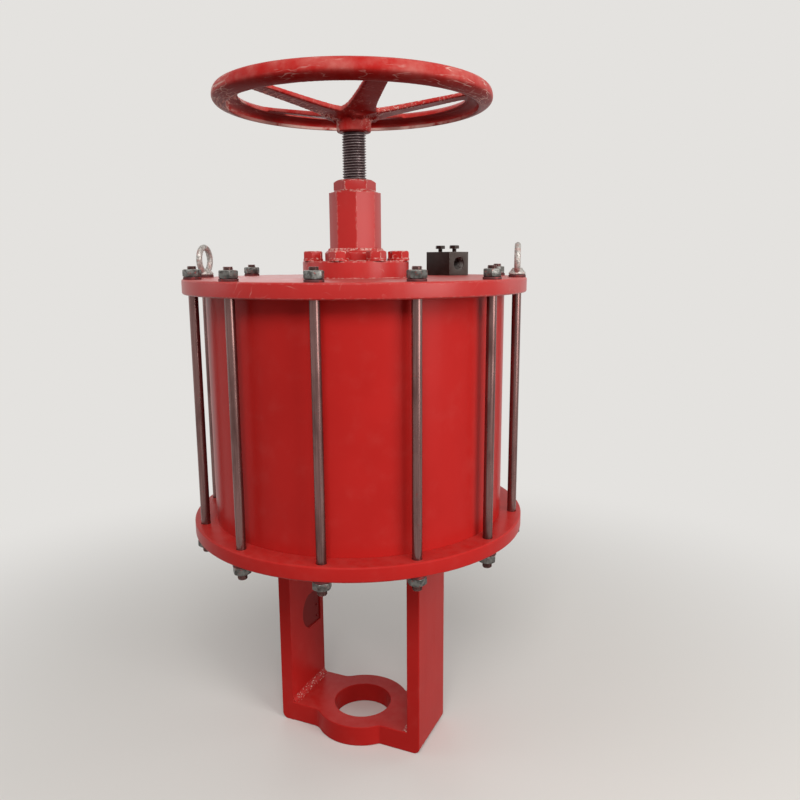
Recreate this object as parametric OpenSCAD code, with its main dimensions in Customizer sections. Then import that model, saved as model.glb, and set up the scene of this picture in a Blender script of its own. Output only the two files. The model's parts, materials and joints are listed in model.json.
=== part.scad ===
// Pneumatic piston actuator for a large valve: a tie-rod air cylinder on a two-legged yoke,
// with a screw and handwheel on top that push the piston down by hand.
// The origin is the centre of the yoke foot's underside. +Z is up, +X runs from leg to leg.

/* [Cylinder] */
// Diameter of the top and bottom plates
plate_d = 608; // [500:1:740]
// Thickness of the top and bottom plates
plate_t = 25; // [18:1:35]
// Gap between the barrel and the tie rods around it
barrel_gap = 13.5; // [3:0.5:30]
// Wall thickness of the barrel
barrel_wall = 15; // [8:1:25]
// Length of the barrel between the plates
barrel_h = 402; // [280:1:600]
// Chamfer on the rims of both plates
plate_chamfer = 2; // [1:0.5:4]

/* [Tie rods] */
// Number of tie rods around the plates
rod_count = 12; // [8:1:16]
// Thread diameter of the tie rods
rod_d = 16; // [12:0.1:18]
// Distance of the tie rods from the plates' edge
rod_edge = 17; // [16:0.5:24]
// Angle of the first tie rod from the +X axis
first_rod_angle = 15; // [0:1:22]
// Width across the flats of the tie-rod nuts
nut_af = 27; // [24:1:30]
// Height of the tie-rod nuts
nut_h = 13; // [10:1:16]
// Diameter of the washers under the nuts
washer_d = 30; // [28:1:32]
// Thickness of the washers
washer_t = 4; // [2:0.5:5]
// Length of each rod that stands above its top nut
rod_stub_top = 5; // [2:1:12]
// Length of each rod that stands below its bottom nut
rod_stub_bottom = 10; // [2:1:20]

/* [Eye nuts] */
// Outside diameter of the lifting ring
eye_d = 56; // [48:1:60]
// Thickness of the ring's round section
eye_wire_d = 11; // [9:1:14]
// Diameter of the eye nut's round base
eye_base_d = 30; // [28:1:34]
// Height of the eye nut's round base
eye_base_h = 11; // [9:1:14]
// Direction that the right ring's plane runs in, from the +X axis
eye_right_turn = 105; // [60:1:120]
// Direction that the left ring's plane runs in, from the +X axis
eye_left_turn = 103; // [60:1:120]

/* [Yoke] */
// Height of the yoke, from the floor to the bottom plate
yoke_h = 428; // [350:1:560]
// Clear width between the two legs
yoke_gap = 248; // [200:1:300]
// Thickness of each leg
leg_t = 25; // [18:1:32]
// Width of the legs and of the foot, front to back
leg_w = 128; // [110:1:154]
// Radius of the legs' outer bottom corners
leg_corner_r = 12; // [4:1:18]
// Thickness of the foot
foot_t = 39; // [30:1:50]
// Outer diameter of the round part of the foot
foot_ring_d = 184; // [160:2:220]
// Bore through the foot
foot_bore_d = 112; // [90:2:126]
// Height of the indicator recess above the floor
recess_z = 167; // [120:1:190]
// Height of the indicator recess itself
recess_h = 72; // [50:1:90]
// Depth of the indicator recess
recess_depth = 2.5; // [1:0.5:5]
// Diameter of the cutter that leaves the recess's round end
recess_cutter_d = 80; // [72:1:100]
// Distance between the two tapped indicator holes
indicator_pitch = 24.5; // [18:0.5:30]
// Diameter of the indicator holes
indicator_hole_d = 6; // [4:0.5:8]

/* [Piston rod] */
// Diameter of the piston rod
piston_rod_d = 45; // [36:1:50]
// Thread diameter of the rod's lower end
rod_end_d = 36; // [24:1:36]
// Length of the thread on the rod's lower end
rod_end_l = 60; // [40:1:80]
// How far the rod's end stands below the bottom plate
rod_reach = 110; // [80:1:140]
// Outer diameter of the gland that guides the rod
gland_d = 120; // [110:1:140]
// Thickness of the gland
gland_t = 30; // [20:1:34]
// Bolt circle of the gland's bolts
gland_pcd = 90; // [84:1:94]
// Height of the piston's underside above the bottom plate
piston_lift = 45; // [20:1:80]
// Thickness of the piston
piston_t = 50; // [30:1:60]

/* [Screw drive] */
// Thread diameter of the drive screw
screw_d = 42; // [34:1:52]
// Travel of the drive screw and its handwheel
screw_travel = 72; // [40:1:90]
// Outer diameter of the screw flange
flange_d = 190; // [184:1:220]
// Thickness of the screw flange
flange_t = 29; // [20:1:36]
// Diameter of the round collar on the flange
collar_d = 110; // [100:1:118]
// Height of the collar
collar_h = 18; // [10:1:24]
// Bolt circle of the flange bolts
flange_pcd = 164; // [158:1:168]
// Number of flange bolts
flange_bolt_count = 8; // [4:1:8]
// Thread diameter of the flange bolts
flange_bolt_d = 20; // [16:1:20]
// Width across the flats of the flange bolts' heads
flange_bolt_af = 30; // [24:1:30]
// Height of the flange bolts' heads
flange_bolt_h = 13; // [10:1:15]
// Width across the corners of the octagonal sleeve
sleeve_d = 92; // [84:1:100]
// Height of the octagonal sleeve
sleeve_h = 100; // [70:1:130]
// Width across the flats of the lock nut
lock_nut_af = 65; // [60:1:70]
// Height of the lock nut
lock_nut_h = 21; // [16:1:26]

/* [Handwheel] */
// Outer diameter of the handwheel
wheel_d = 480; // [400:1:576]
// Width of the rim's rounded section
rim_w = 44; // [30:1:48]
// Height of the rim's rounded section
rim_h = 30; // [20:1:32]
// Lean of the rim's section, with its outer side raised
rim_lean = 13; // [0:1:15]
// Width of the hollow under the rim's inner side, as a share of the rim's height
rim_hollow = 0.93; // [0.6:0.01:1]
// Distance of the hollow's middle inwards from the section's, as a share of the rim's width
hollow_in = 0.41; // [0.3:0.01:0.45]
// Distance of the hollow's middle below the section's, as a share of the rim's height
hollow_down = 0.27; // [0.2:0.01:0.4]
// Height of the rim's middle above the hub's underside
rim_rise = 53; // [46:1:60]
// Number of spokes
spoke_count = 5; // [3:1:7]
// Width of a spoke at the hub
spoke_w_hub = 50; // [30:1:56]
// Width of a spoke at the rim
spoke_w_rim = 33; // [20:1:44]
// Thickness of a spoke at the hub
spoke_t = 10; // [8:0.5:12]
// Thickness of a spoke at the rim
spoke_t_rim = 7; // [5:0.5:8]
// Slope of the spokes, up from the hub to the rim
spoke_slope = 11; // [6:0.5:12]
// Height of a spoke's underside over the rim's middle, where they meet
spoke_lift = 3.5; // [0:0.5:4]
// How far a spoke's end runs into the rim
spoke_bite = 8.8; // [6:0.2:10]
// Direction of the first spoke, from the +X axis
spoke_angle = 22; // [0:1:72]
// Outer diameter of the hub
hub_d = 60; // [56:1:80]
// Height of the hub
hub_h = 36; // [34:1:50]
// Gap between the hub and the lock nut when the wheel is all the way down
hub_gap = 8; // [5:1:20]

/* [Air block] */
// Length of the air block, along its port
block_l = 70; // [60:1:90]
// Width of the air block
block_w = 48; // [40:1:50]
// Height of the air block
block_h = 45; // [40:1:56]
// Direction of the air block from the screw's axis
block_angle = 61; // [0:1:359]
// Distance of the block's middle from the plate's edge
block_edge = 88; // [80:1:130]
// Wall diameter of the air port
port_d = 26.4; // [18:0.2:30]
// Depth of the air port
port_depth = 30; // [20:1:36]
// Distance between the two screws on the block
block_screw_pitch = 42; // [36:1:48]

/* [Hidden] */
$fn = 96;
fit = 0.3;                 // clearance around a screw, rod or bolt in its hole
hex_side = 1 / cos(30);    // corner-to-corner width of a hexagon, for flats 1 apart

// Circles that follow from the plates' size
rod_pcd = plate_d - 2 * rod_edge;
barrel_d = rod_pcd - rod_d - 2 * barrel_gap;
barrel_bore_d = barrel_d - 2 * barrel_wall;
block_r = plate_d / 2 - block_edge;

// Heights of the joint faces, from the floor up
bottom_plate_z = yoke_h;
barrel_z = bottom_plate_z + plate_t;
top_plate_z = barrel_z + barrel_h;
deck_z = top_plate_z + plate_t;
collar_z = deck_z + flange_t;
sleeve_z = collar_z + collar_h;
lock_nut_z = sleeve_z + sleeve_h;
hub_z = lock_nut_z + lock_nut_h + hub_gap + screw_travel;
hub_top_z = hub_z + hub_h;
rim_z = hub_z + rim_rise;

// Tie rods
rod_top_z = deck_z + washer_t + nut_h + rod_stub_top;
rod_bottom_z = bottom_plate_z - washer_t - nut_h - rod_stub_bottom;
rod_angles = [for (i = [0 : rod_count - 1]) first_rod_angle + i * 360 / rod_count];
eye_right_rod = 0;
eye_left_rod = floor(rod_count / 2);
nut_angles = [for (i = [0 : rod_count - 1]) if (i != eye_right_rod && i != eye_left_rod) rod_angles[i]];
eye_rod_h = eye_base_h - 2;    // how far a rod reaches into its eye nut

// Yoke
recess_y = 52;             // the recess's straight front-to-back edge
recess_run_out = -17.5;    // where the cutter's round end stops
indicator_y = 40;
indicator_depth = 15;
indicator_z = [recess_z + 11.5, recess_z + 11.5 + indicator_pitch];

// Piston and rod
rod_end_z = bottom_plate_z - rod_reach;
piston_z = barrel_z + piston_lift;
piston_nut_h = 18;
piston_nut_af = rod_end_d * 1.53;
gland_bolt_count = 6;
gland_bolt_d = 10;
gland_bolt_af = 16;
gland_bolt_h = 7;
gland_bolt_grip = 12;      // how far the gland's bolts reach into the bottom plate

// Screw drive
screw_tip_d = 30;
screw_tip_l = 12;
pad_d = 60;
pad_h = 20;
pad_drop = 9;              // gap above the thrust pad when the screw is all the way up
pad_z = top_plate_z - pad_drop - pad_h;
flange_bolt_angle = 7;
flange_washer_d = 34;
flange_washer_t = 4;
flange_bolt_grip = 18;     // how far the flange bolts reach into the top plate
sleeve_turn = 29.4;        // direction of one corner of the octagon
sleeve_bore_d = screw_d + 2 * fit;
hub_bore_d = screw_d - 8;
key_w = 10;
key_h = 8;
key_l = hub_h - 4;
keeper_d = 46;
keeper_t = 4;
keeper_screw_d = 10;
keeper_screw_reach = 23;   // how far the keeper's screw reaches into the drive screw

// Air block
port_z = block_h / 2;
block_screw_d = 8;
block_screw_af = 17;
block_screw_h = 6.4;
block_screw_neck = 6;
block_screw_depth = 8;

enamel = [0.76, 0.17, 0.14];
rod_steel = [0.43, 0.41, 0.38];
nut_steel = [0.44, 0.43, 0.42];
washer_maroon = [0.29, 0.06, 0.07];
galvanised = [0.69, 0.68, 0.66];
black_iron = [0.25, 0.15, 0.15];

rod_names = [for (i = [1 : rod_count]) str("tie_rod_", i < 10 ? "0" : "", i)];

// ---------------------------------------------------------------- shared shapes

// Places children on a circle about the Z axis, turned to face outwards
module on_circle(diameter, angles) {
    for (a = angles) rotate([0, 0, a]) translate([diameter / 2, 0, 0]) children();
}

// Equal directions around a circle
function spread(count, first) = [for (i = [0 : count - 1]) first + i * 360 / count];

// A disc with a chamfer on its top rim, and on its bottom rim too if both is true
module chamfered_disc(d, h, c, both = true) {
    low = both ? c : 0;
    rotate_extrude() polygon([
        [0, 0], [d / 2 - low, 0], [d / 2, low], [d / 2, h - c], [d / 2 - c, h], [0, h]
    ]);
}

// A hexagon prism with its corners turned off at 30 degrees, at the top or at both ends
module hexagon(af, h, both = true) {
    corner_r = af * hex_side / 2;
    face_r = af / 2 * 0.95;
    drop = (corner_r - face_r) * tan(30);
    low_r = both ? face_r : corner_r;
    intersection() {
        cylinder(d = af * hex_side, h = h, $fn = 6);
        rotate_extrude() polygon([
            [0, 0], [low_r, 0], [corner_r, both ? drop : 0], [corner_r, h - drop], [face_r, h], [0, h]
        ]);
    }
}

module hex_nut(af, h, bore_d) {
    difference() {
        hexagon(af, h);
        translate([0, 0, -1]) cylinder(d = bore_d, h = h + 2);
    }
}

module washer(d, t, bore_d) {
    difference() {
        cylinder(d = d, h = t);
        translate([0, 0, -1]) cylinder(d = bore_d, h = t + 2);
    }
}

// A hexagon bolt, head up, with its head's seat at z = 0
module hex_bolt(d, af, head_h, shank_l) {
    hexagon(af, head_h, both = false);
    translate([0, 0, -shank_l]) cylinder(d = d, h = shank_l + 1);
}

// A round bar with a chamfer on both ends
module bar(d, h, c) {
    chamfered_disc(d, h, c);
}

// ---------------------------------------------------------------- yoke

module yoke_foot() {
    color(enamel) difference() {
        union() {
            translate([-yoke_gap / 2, -leg_w / 2, 0]) cube([yoke_gap, leg_w, foot_t]);
            cylinder(d = foot_ring_d, h = foot_t);
        }
        translate([0, 0, -1]) cylinder(d = foot_bore_d, h = foot_t + 2);
    }
}

// The right leg's outline seen from the front, with its outer bottom corner rounded
module leg_outline() {
    translate([0, leg_corner_r]) square([leg_t, yoke_h - leg_corner_r]);
    square([leg_t - leg_corner_r, leg_corner_r + 1]);
    translate([leg_t - leg_corner_r, leg_corner_r]) circle(r = leg_corner_r);
}

module leg() {
    translate([yoke_gap / 2, leg_w / 2, 0]) rotate([90, 0, 0]) linear_extrude(leg_w) leg_outline();
}

module yoke_leg_right() {
    color(enamel) leg();
}

// The left leg has a milled seat and two tapped holes for a travel indicator
module yoke_leg_left() {
    face_x = -yoke_gap / 2;
    middle_z = recess_z + recess_h / 2;
    cutter_y = recess_run_out + recess_cutter_d / 2;
    color(enamel) difference() {
        mirror([1, 0, 0]) leg();
        intersection() {
            translate([face_x - recess_depth, recess_run_out, recess_z])
                cube([recess_depth + 1, recess_y - recess_run_out, recess_h]);
            union() {
                translate([face_x - recess_depth, cutter_y, middle_z])
                    rotate([0, 90, 0]) cylinder(d = recess_cutter_d, h = recess_depth + 1);
                translate([face_x - recess_depth, cutter_y, recess_z])
                    cube([recess_depth + 1, recess_y - cutter_y, recess_h]);
            }
        }
        for (z = indicator_z)
            translate([face_x - indicator_depth, indicator_y, z])
                rotate([0, 90, 0]) cylinder(d = indicator_hole_d, h = indicator_depth + 1);
    }
}

// ---------------------------------------------------------------- cylinder

// A round end plate with the tie-rod holes; its middle hole and tapped holes are cut by children
module end_plate() {
    difference() {
        chamfered_disc(plate_d, plate_t, plate_chamfer);
        translate([0, 0, -1]) on_circle(rod_pcd, rod_angles) cylinder(d = rod_d + 2 * fit, h = plate_t + 2);
        children();
    }
}

module bottom_plate() {
    color(enamel) translate([0, 0, bottom_plate_z]) end_plate() {
        union() {
            translate([0, 0, -1]) cylinder(d = piston_rod_d + 2 * fit, h = plate_t + 2);
            translate([0, 0, -1]) on_circle(gland_pcd, spread(gland_bolt_count, 0))
                cylinder(d = gland_bolt_d + 2 * fit, h = gland_bolt_grip + 2);
        }
    }
}

module top_plate() {
    color(enamel) translate([0, 0, top_plate_z]) end_plate() {
        union() {
            translate([0, 0, -1]) cylinder(d = sleeve_bore_d, h = plate_t + 2);
            translate([0, 0, plate_t - flange_bolt_grip - 1])
                on_circle(flange_pcd, spread(flange_bolt_count, flange_bolt_angle))
                    cylinder(d = flange_bolt_d + 2 * fit, h = flange_bolt_grip + 2);
        }
    }
}

module cylinder_barrel() {
    color(enamel) translate([0, 0, barrel_z]) difference() {
        cylinder(d = barrel_d, h = barrel_h);
        translate([0, 0, -1]) cylinder(d = barrel_bore_d, h = barrel_h + 2);
    }
}

// A rod ends above its nut, or just short of the loop where it carries an eye nut
module tie_rod(i) {
    carries_eye = i == eye_right_rod || i == eye_left_rod;
    top_z = carries_eye ? deck_z + washer_t + eye_rod_h : rod_top_z;
    color(rod_steel) rotate([0, 0, rod_angles[i]]) translate([rod_pcd / 2, 0, rod_bottom_z])
        bar(rod_d, top_z - rod_bottom_z, 1.5);
}

module top_nuts() {
    color(nut_steel) translate([0, 0, deck_z + washer_t])
        on_circle(rod_pcd, nut_angles) hex_nut(nut_af, nut_h, rod_d + 2 * fit);
}

module top_washers() {
    color(washer_maroon) translate([0, 0, deck_z])
        on_circle(rod_pcd, rod_angles) washer(washer_d, washer_t, rod_d + 2 * fit);
}

module bottom_nuts() {
    color(nut_steel) translate([0, 0, bottom_plate_z - washer_t - nut_h])
        on_circle(rod_pcd, rod_angles) hex_nut(nut_af, nut_h, rod_d + 2 * fit);
}

module bottom_washers() {
    color(washer_maroon) translate([0, 0, bottom_plate_z - washer_t])
        on_circle(rod_pcd, rod_angles) washer(washer_d, washer_t, rod_d + 2 * fit);
}

// A forged eye nut on its own axis: a round base, a waist and a ring in the XZ plane
module eye_nut() {
    ring_r = (eye_d - eye_wire_d) / 2;
    ring_z = eye_base_h + eye_d / 2 - eye_wire_d;
    collar_part = eye_base_h / 2;
    shoulder_d = eye_base_d - 4;
    waist_d = eye_wire_d + 8;
    difference() {
        union() {
            chamfered_disc(eye_base_d, collar_part + 0.5, 1.5, both = false);
            translate([0, 0, collar_part])
                cylinder(d1 = shoulder_d, d2 = waist_d, h = eye_base_h - collar_part);
            translate([0, 0, ring_z]) rotate([90, 0, 0])
                rotate_extrude() translate([ring_r, 0]) circle(d = eye_wire_d);
        }
        translate([0, 0, -1]) cylinder(d = rod_d + 2 * fit, h = eye_rod_h + 1);
    }
}

module eye_nut_on(rod, turn) {
    angle = rod_angles[rod];
    color(galvanised) rotate([0, 0, angle]) translate([rod_pcd / 2, 0, deck_z + washer_t])
        rotate([0, 0, turn - angle]) eye_nut();
}

// ---------------------------------------------------------------- piston and rod

// The rod's thick middle, its threaded lower end and the spigot that holds the piston
module piston_rod() {
    shoulder_z = rod_end_z + rod_end_l;
    spigot_top_z = piston_z + piston_t + piston_nut_h + 3;
    color(rod_steel) {
        translate([0, 0, rod_end_z]) bar(rod_end_d, rod_end_l, 2);
        translate([0, 0, shoulder_z - 2]) bar(piston_rod_d, piston_z - shoulder_z + 2, 2);
        translate([0, 0, piston_z - 3]) bar(rod_end_d, spigot_top_z - piston_z + 3, 2);
    }
}

module piston() {
    color(black_iron) translate([0, 0, piston_z]) difference() {
        chamfered_disc(barrel_bore_d - 2 * fit, piston_t, 2);
        translate([0, 0, -1]) cylinder(d = rod_end_d + 2 * fit, h = piston_t + 2);
    }
}

module piston_nut() {
    color(nut_steel) translate([0, 0, piston_z + piston_t])
        hex_nut(piston_nut_af, piston_nut_h, rod_end_d + 2 * fit);
}

module rod_gland() {
    color(enamel) translate([0, 0, bottom_plate_z - gland_t]) difference() {
        mirror([0, 0, 1]) translate([0, 0, -gland_t]) chamfered_disc(gland_d, gland_t, 3, both = false);
        translate([0, 0, -1]) cylinder(d = piston_rod_d + 2 * fit, h = gland_t + 2);
        translate([0, 0, -1]) on_circle(gland_pcd, spread(gland_bolt_count, 0))
            cylinder(d = gland_bolt_d + 2 * fit, h = gland_t + 2);
    }
}

module gland_bolts() {
    color(nut_steel) translate([0, 0, bottom_plate_z - gland_t]) mirror([0, 0, 1])
        on_circle(gland_pcd, spread(gland_bolt_count, 0))
            hex_bolt(gland_bolt_d, gland_bolt_af, gland_bolt_h, gland_t + gland_bolt_grip);
}

// ---------------------------------------------------------------- screw drive

module screw_flange() {
    color(enamel) difference() {
        union() {
            translate([0, 0, deck_z]) chamfered_disc(flange_d, flange_t, 1.5, both = false);
            translate([0, 0, collar_z - 1]) chamfered_disc(collar_d, collar_h + 1, 4, both = false);
        }
        translate([0, 0, deck_z - 1]) cylinder(d = sleeve_bore_d, h = flange_t + collar_h + 2);
        translate([0, 0, deck_z - 1]) on_circle(flange_pcd, spread(flange_bolt_count, flange_bolt_angle))
            cylinder(d = flange_bolt_d + 2 * fit, h = flange_t + 2);
    }
}

module screw_sleeve() {
    color(enamel) translate([0, 0, sleeve_z]) difference() {
        rotate([0, 0, sleeve_turn]) cylinder(d = sleeve_d, h = sleeve_h, $fn = 8);
        translate([0, 0, -1]) cylinder(d = sleeve_bore_d, h = sleeve_h + 2);
    }
}

module flange_washers() {
    color(enamel) translate([0, 0, collar_z])
        on_circle(flange_pcd, spread(flange_bolt_count, flange_bolt_angle))
            washer(flange_washer_d, flange_washer_t, flange_bolt_d + 2 * fit);
}

module flange_bolts() {
    color(enamel) translate([0, 0, collar_z + flange_washer_t])
        on_circle(flange_pcd, spread(flange_bolt_count, flange_bolt_angle))
            hex_bolt(flange_bolt_d, flange_bolt_af, flange_bolt_h,
                flange_washer_t + flange_t + flange_bolt_grip);
}

module lock_nut() {
    color(enamel) translate([0, 0, lock_nut_z]) rotate([0, 0, sleeve_turn])
        hex_nut(lock_nut_af, lock_nut_h, sleeve_bore_d);
}

module thrust_pad() {
    color(nut_steel) translate([0, 0, pad_z]) difference() {
        chamfered_disc(pad_d, pad_h, 2);
        translate([0, 0, pad_h - screw_tip_l]) cylinder(d = screw_tip_d + 2 * fit, h = screw_tip_l + 1);
    }
}

// The key and the slot it fills, on the side away from the first spoke
module key_shape() {
    rotate([0, 0, spoke_angle + 180])
        translate([hub_bore_d / 2 - key_h / 2, -key_w / 2, hub_top_z - key_l]) cube([key_h, key_w, key_l]);
}

module drive_screw() {
    thread_bottom_z = pad_z + pad_h;
    color(rod_steel) difference() {
        union() {
            translate([0, 0, thread_bottom_z - screw_tip_l]) cylinder(d = screw_tip_d, h = screw_tip_l + 4);
            translate([0, 0, thread_bottom_z + 2]) bar(screw_d, hub_z - thread_bottom_z - 2, 2);
            translate([0, 0, hub_z - 3]) bar(hub_bore_d - 2 * fit, hub_h + 3, 1.5);
        }
        key_shape();
        translate([0, 0, hub_top_z - keeper_screw_reach - 2])
            cylinder(d = keeper_screw_d + 2 * fit, h = keeper_screw_reach + 3);
    }
}

// ---------------------------------------------------------------- handwheel

// The rim's section: flat above and below, with half-round sides and a hollow under its inner side
module rim_section() {
    reach = rim_w / 2 - rim_h / 2;
    rotate(rim_lean) difference() {
        union() {
            translate([-reach, -rim_h / 2]) square([2 * reach, rim_h]);
            for (side = [-1, 1]) translate([side * reach, 0]) circle(d = rim_h);
        }
        translate([-hollow_in * rim_w, -hollow_down * rim_h]) circle(d = rim_hollow * rim_h);
    }
}

// A flat arm that narrows and rises from the hub, and ends inside the rim
module spoke() {
    inner_r = wheel_d / 2 - rim_w;
    end_r = inner_r + spoke_bite;
    rise = end_r * tan(spoke_slope);
    low_z = rim_z + spoke_lift - inner_r * tan(spoke_slope);
    intersection() {
        translate([0, spoke_w_hub, 0]) rotate([90, 0, 0]) linear_extrude(2 * spoke_w_hub) polygon([
            [0, low_z], [end_r, low_z + rise], [end_r, low_z + rise + spoke_t_rim], [0, low_z + spoke_t]
        ]);
        translate([0, 0, hub_z]) linear_extrude(2 * rim_rise) polygon([
            [0, -spoke_w_hub / 2], [end_r, -spoke_w_rim / 2], [end_r, spoke_w_rim / 2], [0, spoke_w_hub / 2]
        ]);
    }
}

module handwheel() {
    color(enamel) difference() {
        union() {
            translate([0, 0, rim_z]) rotate_extrude($fn = 180)
                translate([(wheel_d - rim_w) / 2, 0]) rim_section();
            for (a = spread(spoke_count, spoke_angle)) rotate([0, 0, a]) spoke();
            translate([0, 0, hub_z]) chamfered_disc(hub_d, hub_h, 2);
        }
        translate([0, 0, hub_z - 1]) cylinder(d = hub_bore_d, h = hub_h + 2);
        key_shape();
    }
}

module wheel_key() {
    color(nut_steel) key_shape();
}

// A disc and a countersunk screw that keep the hub on the drive screw
module wheel_keeper() {
    hole_d = keeper_screw_d + 2 * fit;
    color(nut_steel) translate([0, 0, hub_top_z]) difference() {
        chamfered_disc(keeper_d, keeper_t, 1, both = false);
        translate([0, 0, -1]) cylinder(d = hole_d, h = keeper_t + 2);
        cylinder(d1 = hole_d, d2 = hole_d + 2 * keeper_t, h = keeper_t + 0.01);
    }
}

module keeper_screw() {
    color(nut_steel) translate([0, 0, hub_top_z]) {
        translate([0, 0, -keeper_screw_reach]) cylinder(d = keeper_screw_d, h = keeper_screw_reach + 1);
        cylinder(d1 = keeper_screw_d, d2 = keeper_screw_d + 2 * keeper_t, h = keeper_t);
    }
}

// ---------------------------------------------------------------- air block

module at_block() {
    rotate([0, 0, block_angle]) translate([block_r, 0, deck_z]) children();
}

module air_block() {
    color(black_iron) at_block() difference() {
        translate([-block_w / 2, -block_l / 2, 0]) cube([block_w, block_l, block_h]);
        translate([0, -block_l / 2 - 1, port_z]) rotate([-90, 0, 0]) cylinder(d = port_d, h = port_depth + 1);
        for (side = [-1, 1]) translate([0, side * block_screw_pitch / 2, block_h - block_screw_depth])
            cylinder(d = block_screw_d + 2 * fit, h = block_screw_depth + 1);
    }
}

module air_block_screws() {
    color(black_iron) at_block() for (side = [-1, 1])
        translate([0, side * block_screw_pitch / 2, block_h + block_screw_neck])
            hex_bolt(block_screw_d, block_screw_af, block_screw_h, block_screw_neck + block_screw_depth);
}

// ---------------------------------------------------------------- the nodes

yoke_foot();
yoke_leg_left();
yoke_leg_right();
bottom_plate();
rod_gland();
gland_bolts();
piston_rod();
piston();
piston_nut();
cylinder_barrel();
top_plate();
for (i = [0 : rod_count - 1]) tie_rod(i);
top_nuts();
top_washers();
bottom_nuts();
bottom_washers();
eye_nut_on(eye_right_rod, eye_right_turn);  // eye_nut_right
eye_nut_on(eye_left_rod, eye_left_turn);  // eye_nut_left
screw_flange();
screw_sleeve();
flange_bolts();
flange_washers();
lock_nut();
air_block();
air_block_screws();
thrust_pad();
drive_screw();
handwheel();
wheel_key();
wheel_keeper();
keeper_screw();
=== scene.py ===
"""The finished surfaces of a tie-rod pneumatic actuator: yoke, air cylinder, drive screw and handwheel."""

import json
import math
import random

import bmesh
import bpy
from bpy.props import FloatProperty, FloatVectorProperty, IntProperty, PointerProperty
from mathutils import Matrix, Vector

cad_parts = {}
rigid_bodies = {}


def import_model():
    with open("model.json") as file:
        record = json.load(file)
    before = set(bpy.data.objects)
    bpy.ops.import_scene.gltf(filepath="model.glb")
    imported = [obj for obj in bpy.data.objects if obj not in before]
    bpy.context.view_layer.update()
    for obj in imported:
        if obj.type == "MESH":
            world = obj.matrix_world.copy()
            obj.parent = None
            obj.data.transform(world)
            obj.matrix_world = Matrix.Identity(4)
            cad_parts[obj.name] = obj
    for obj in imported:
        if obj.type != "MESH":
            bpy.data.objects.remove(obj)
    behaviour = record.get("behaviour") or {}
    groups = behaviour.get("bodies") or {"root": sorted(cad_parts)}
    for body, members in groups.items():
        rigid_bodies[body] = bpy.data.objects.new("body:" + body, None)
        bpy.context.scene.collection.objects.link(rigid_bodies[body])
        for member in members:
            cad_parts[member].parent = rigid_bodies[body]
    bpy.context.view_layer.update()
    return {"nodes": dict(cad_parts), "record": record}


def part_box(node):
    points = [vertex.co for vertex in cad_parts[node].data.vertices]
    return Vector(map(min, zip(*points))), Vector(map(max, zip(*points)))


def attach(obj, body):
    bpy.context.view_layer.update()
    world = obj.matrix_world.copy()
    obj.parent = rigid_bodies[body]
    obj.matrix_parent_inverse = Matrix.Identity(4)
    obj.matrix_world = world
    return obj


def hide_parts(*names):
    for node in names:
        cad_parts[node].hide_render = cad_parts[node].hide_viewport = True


bl_info = {
    "name": "Pneumatic Valve Actuator",
    "version": (1, 0, 0),
    "blender": (4, 5, 0),
    "location": "View3D > Sidebar > Actuator",
    "description": "Finishes the frame of a pneumatic valve actuator with a handwheel",
    "category": "Add Mesh",
}

for left_over in list(bpy.data.objects):
    bpy.data.objects.remove(left_over)

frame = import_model()

MM = 0.001
UP = Vector((0, 0, 1))
# Degrees between faces that are still shaded as one: on pieces with flat faces, threads and welds
FLAT = 12
THREAD = 35
WELD = 60
TIE_RODS = sorted(name for name in frame["nodes"] if name.startswith("tie_rod_"))
# A mask that eases in and out between its limits
EASED = {"interpolation_type": "SMOOTHSTEP"}


def linear(hex_colour):
    """The linear RGBA of an sRGB hex colour."""
    parts = [int(hex_colour[i:i + 2], 16) / 255 for i in (0, 2, 4)]
    return tuple(p / 12.92 if p <= 0.04045 else ((p + 0.055) / 1.055) ** 2.4 for p in parts) + (1.0,)


def size(name, description, millimetres):
    """A length that a user can change."""
    return FloatProperty(name=name, description=description, default=millimetres * MM, unit="LENGTH")


def angle(name, description, degrees):
    """An angle that a user can change."""
    return FloatProperty(
        name=name, description=description, default=math.radians(degrees), unit="ROTATION"
    )


def number(name, description, value):
    """A plain number that a user can change."""
    return FloatProperty(name=name, description=description, default=value)


def colour(name, description, hex_colour):
    """A colour that a user can change."""
    return FloatVectorProperty(
        name=name, description=description, default=linear(hex_colour), size=4, subtype="COLOR"
    )


# ---------------------------------------------------------------- what a user can change


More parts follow.
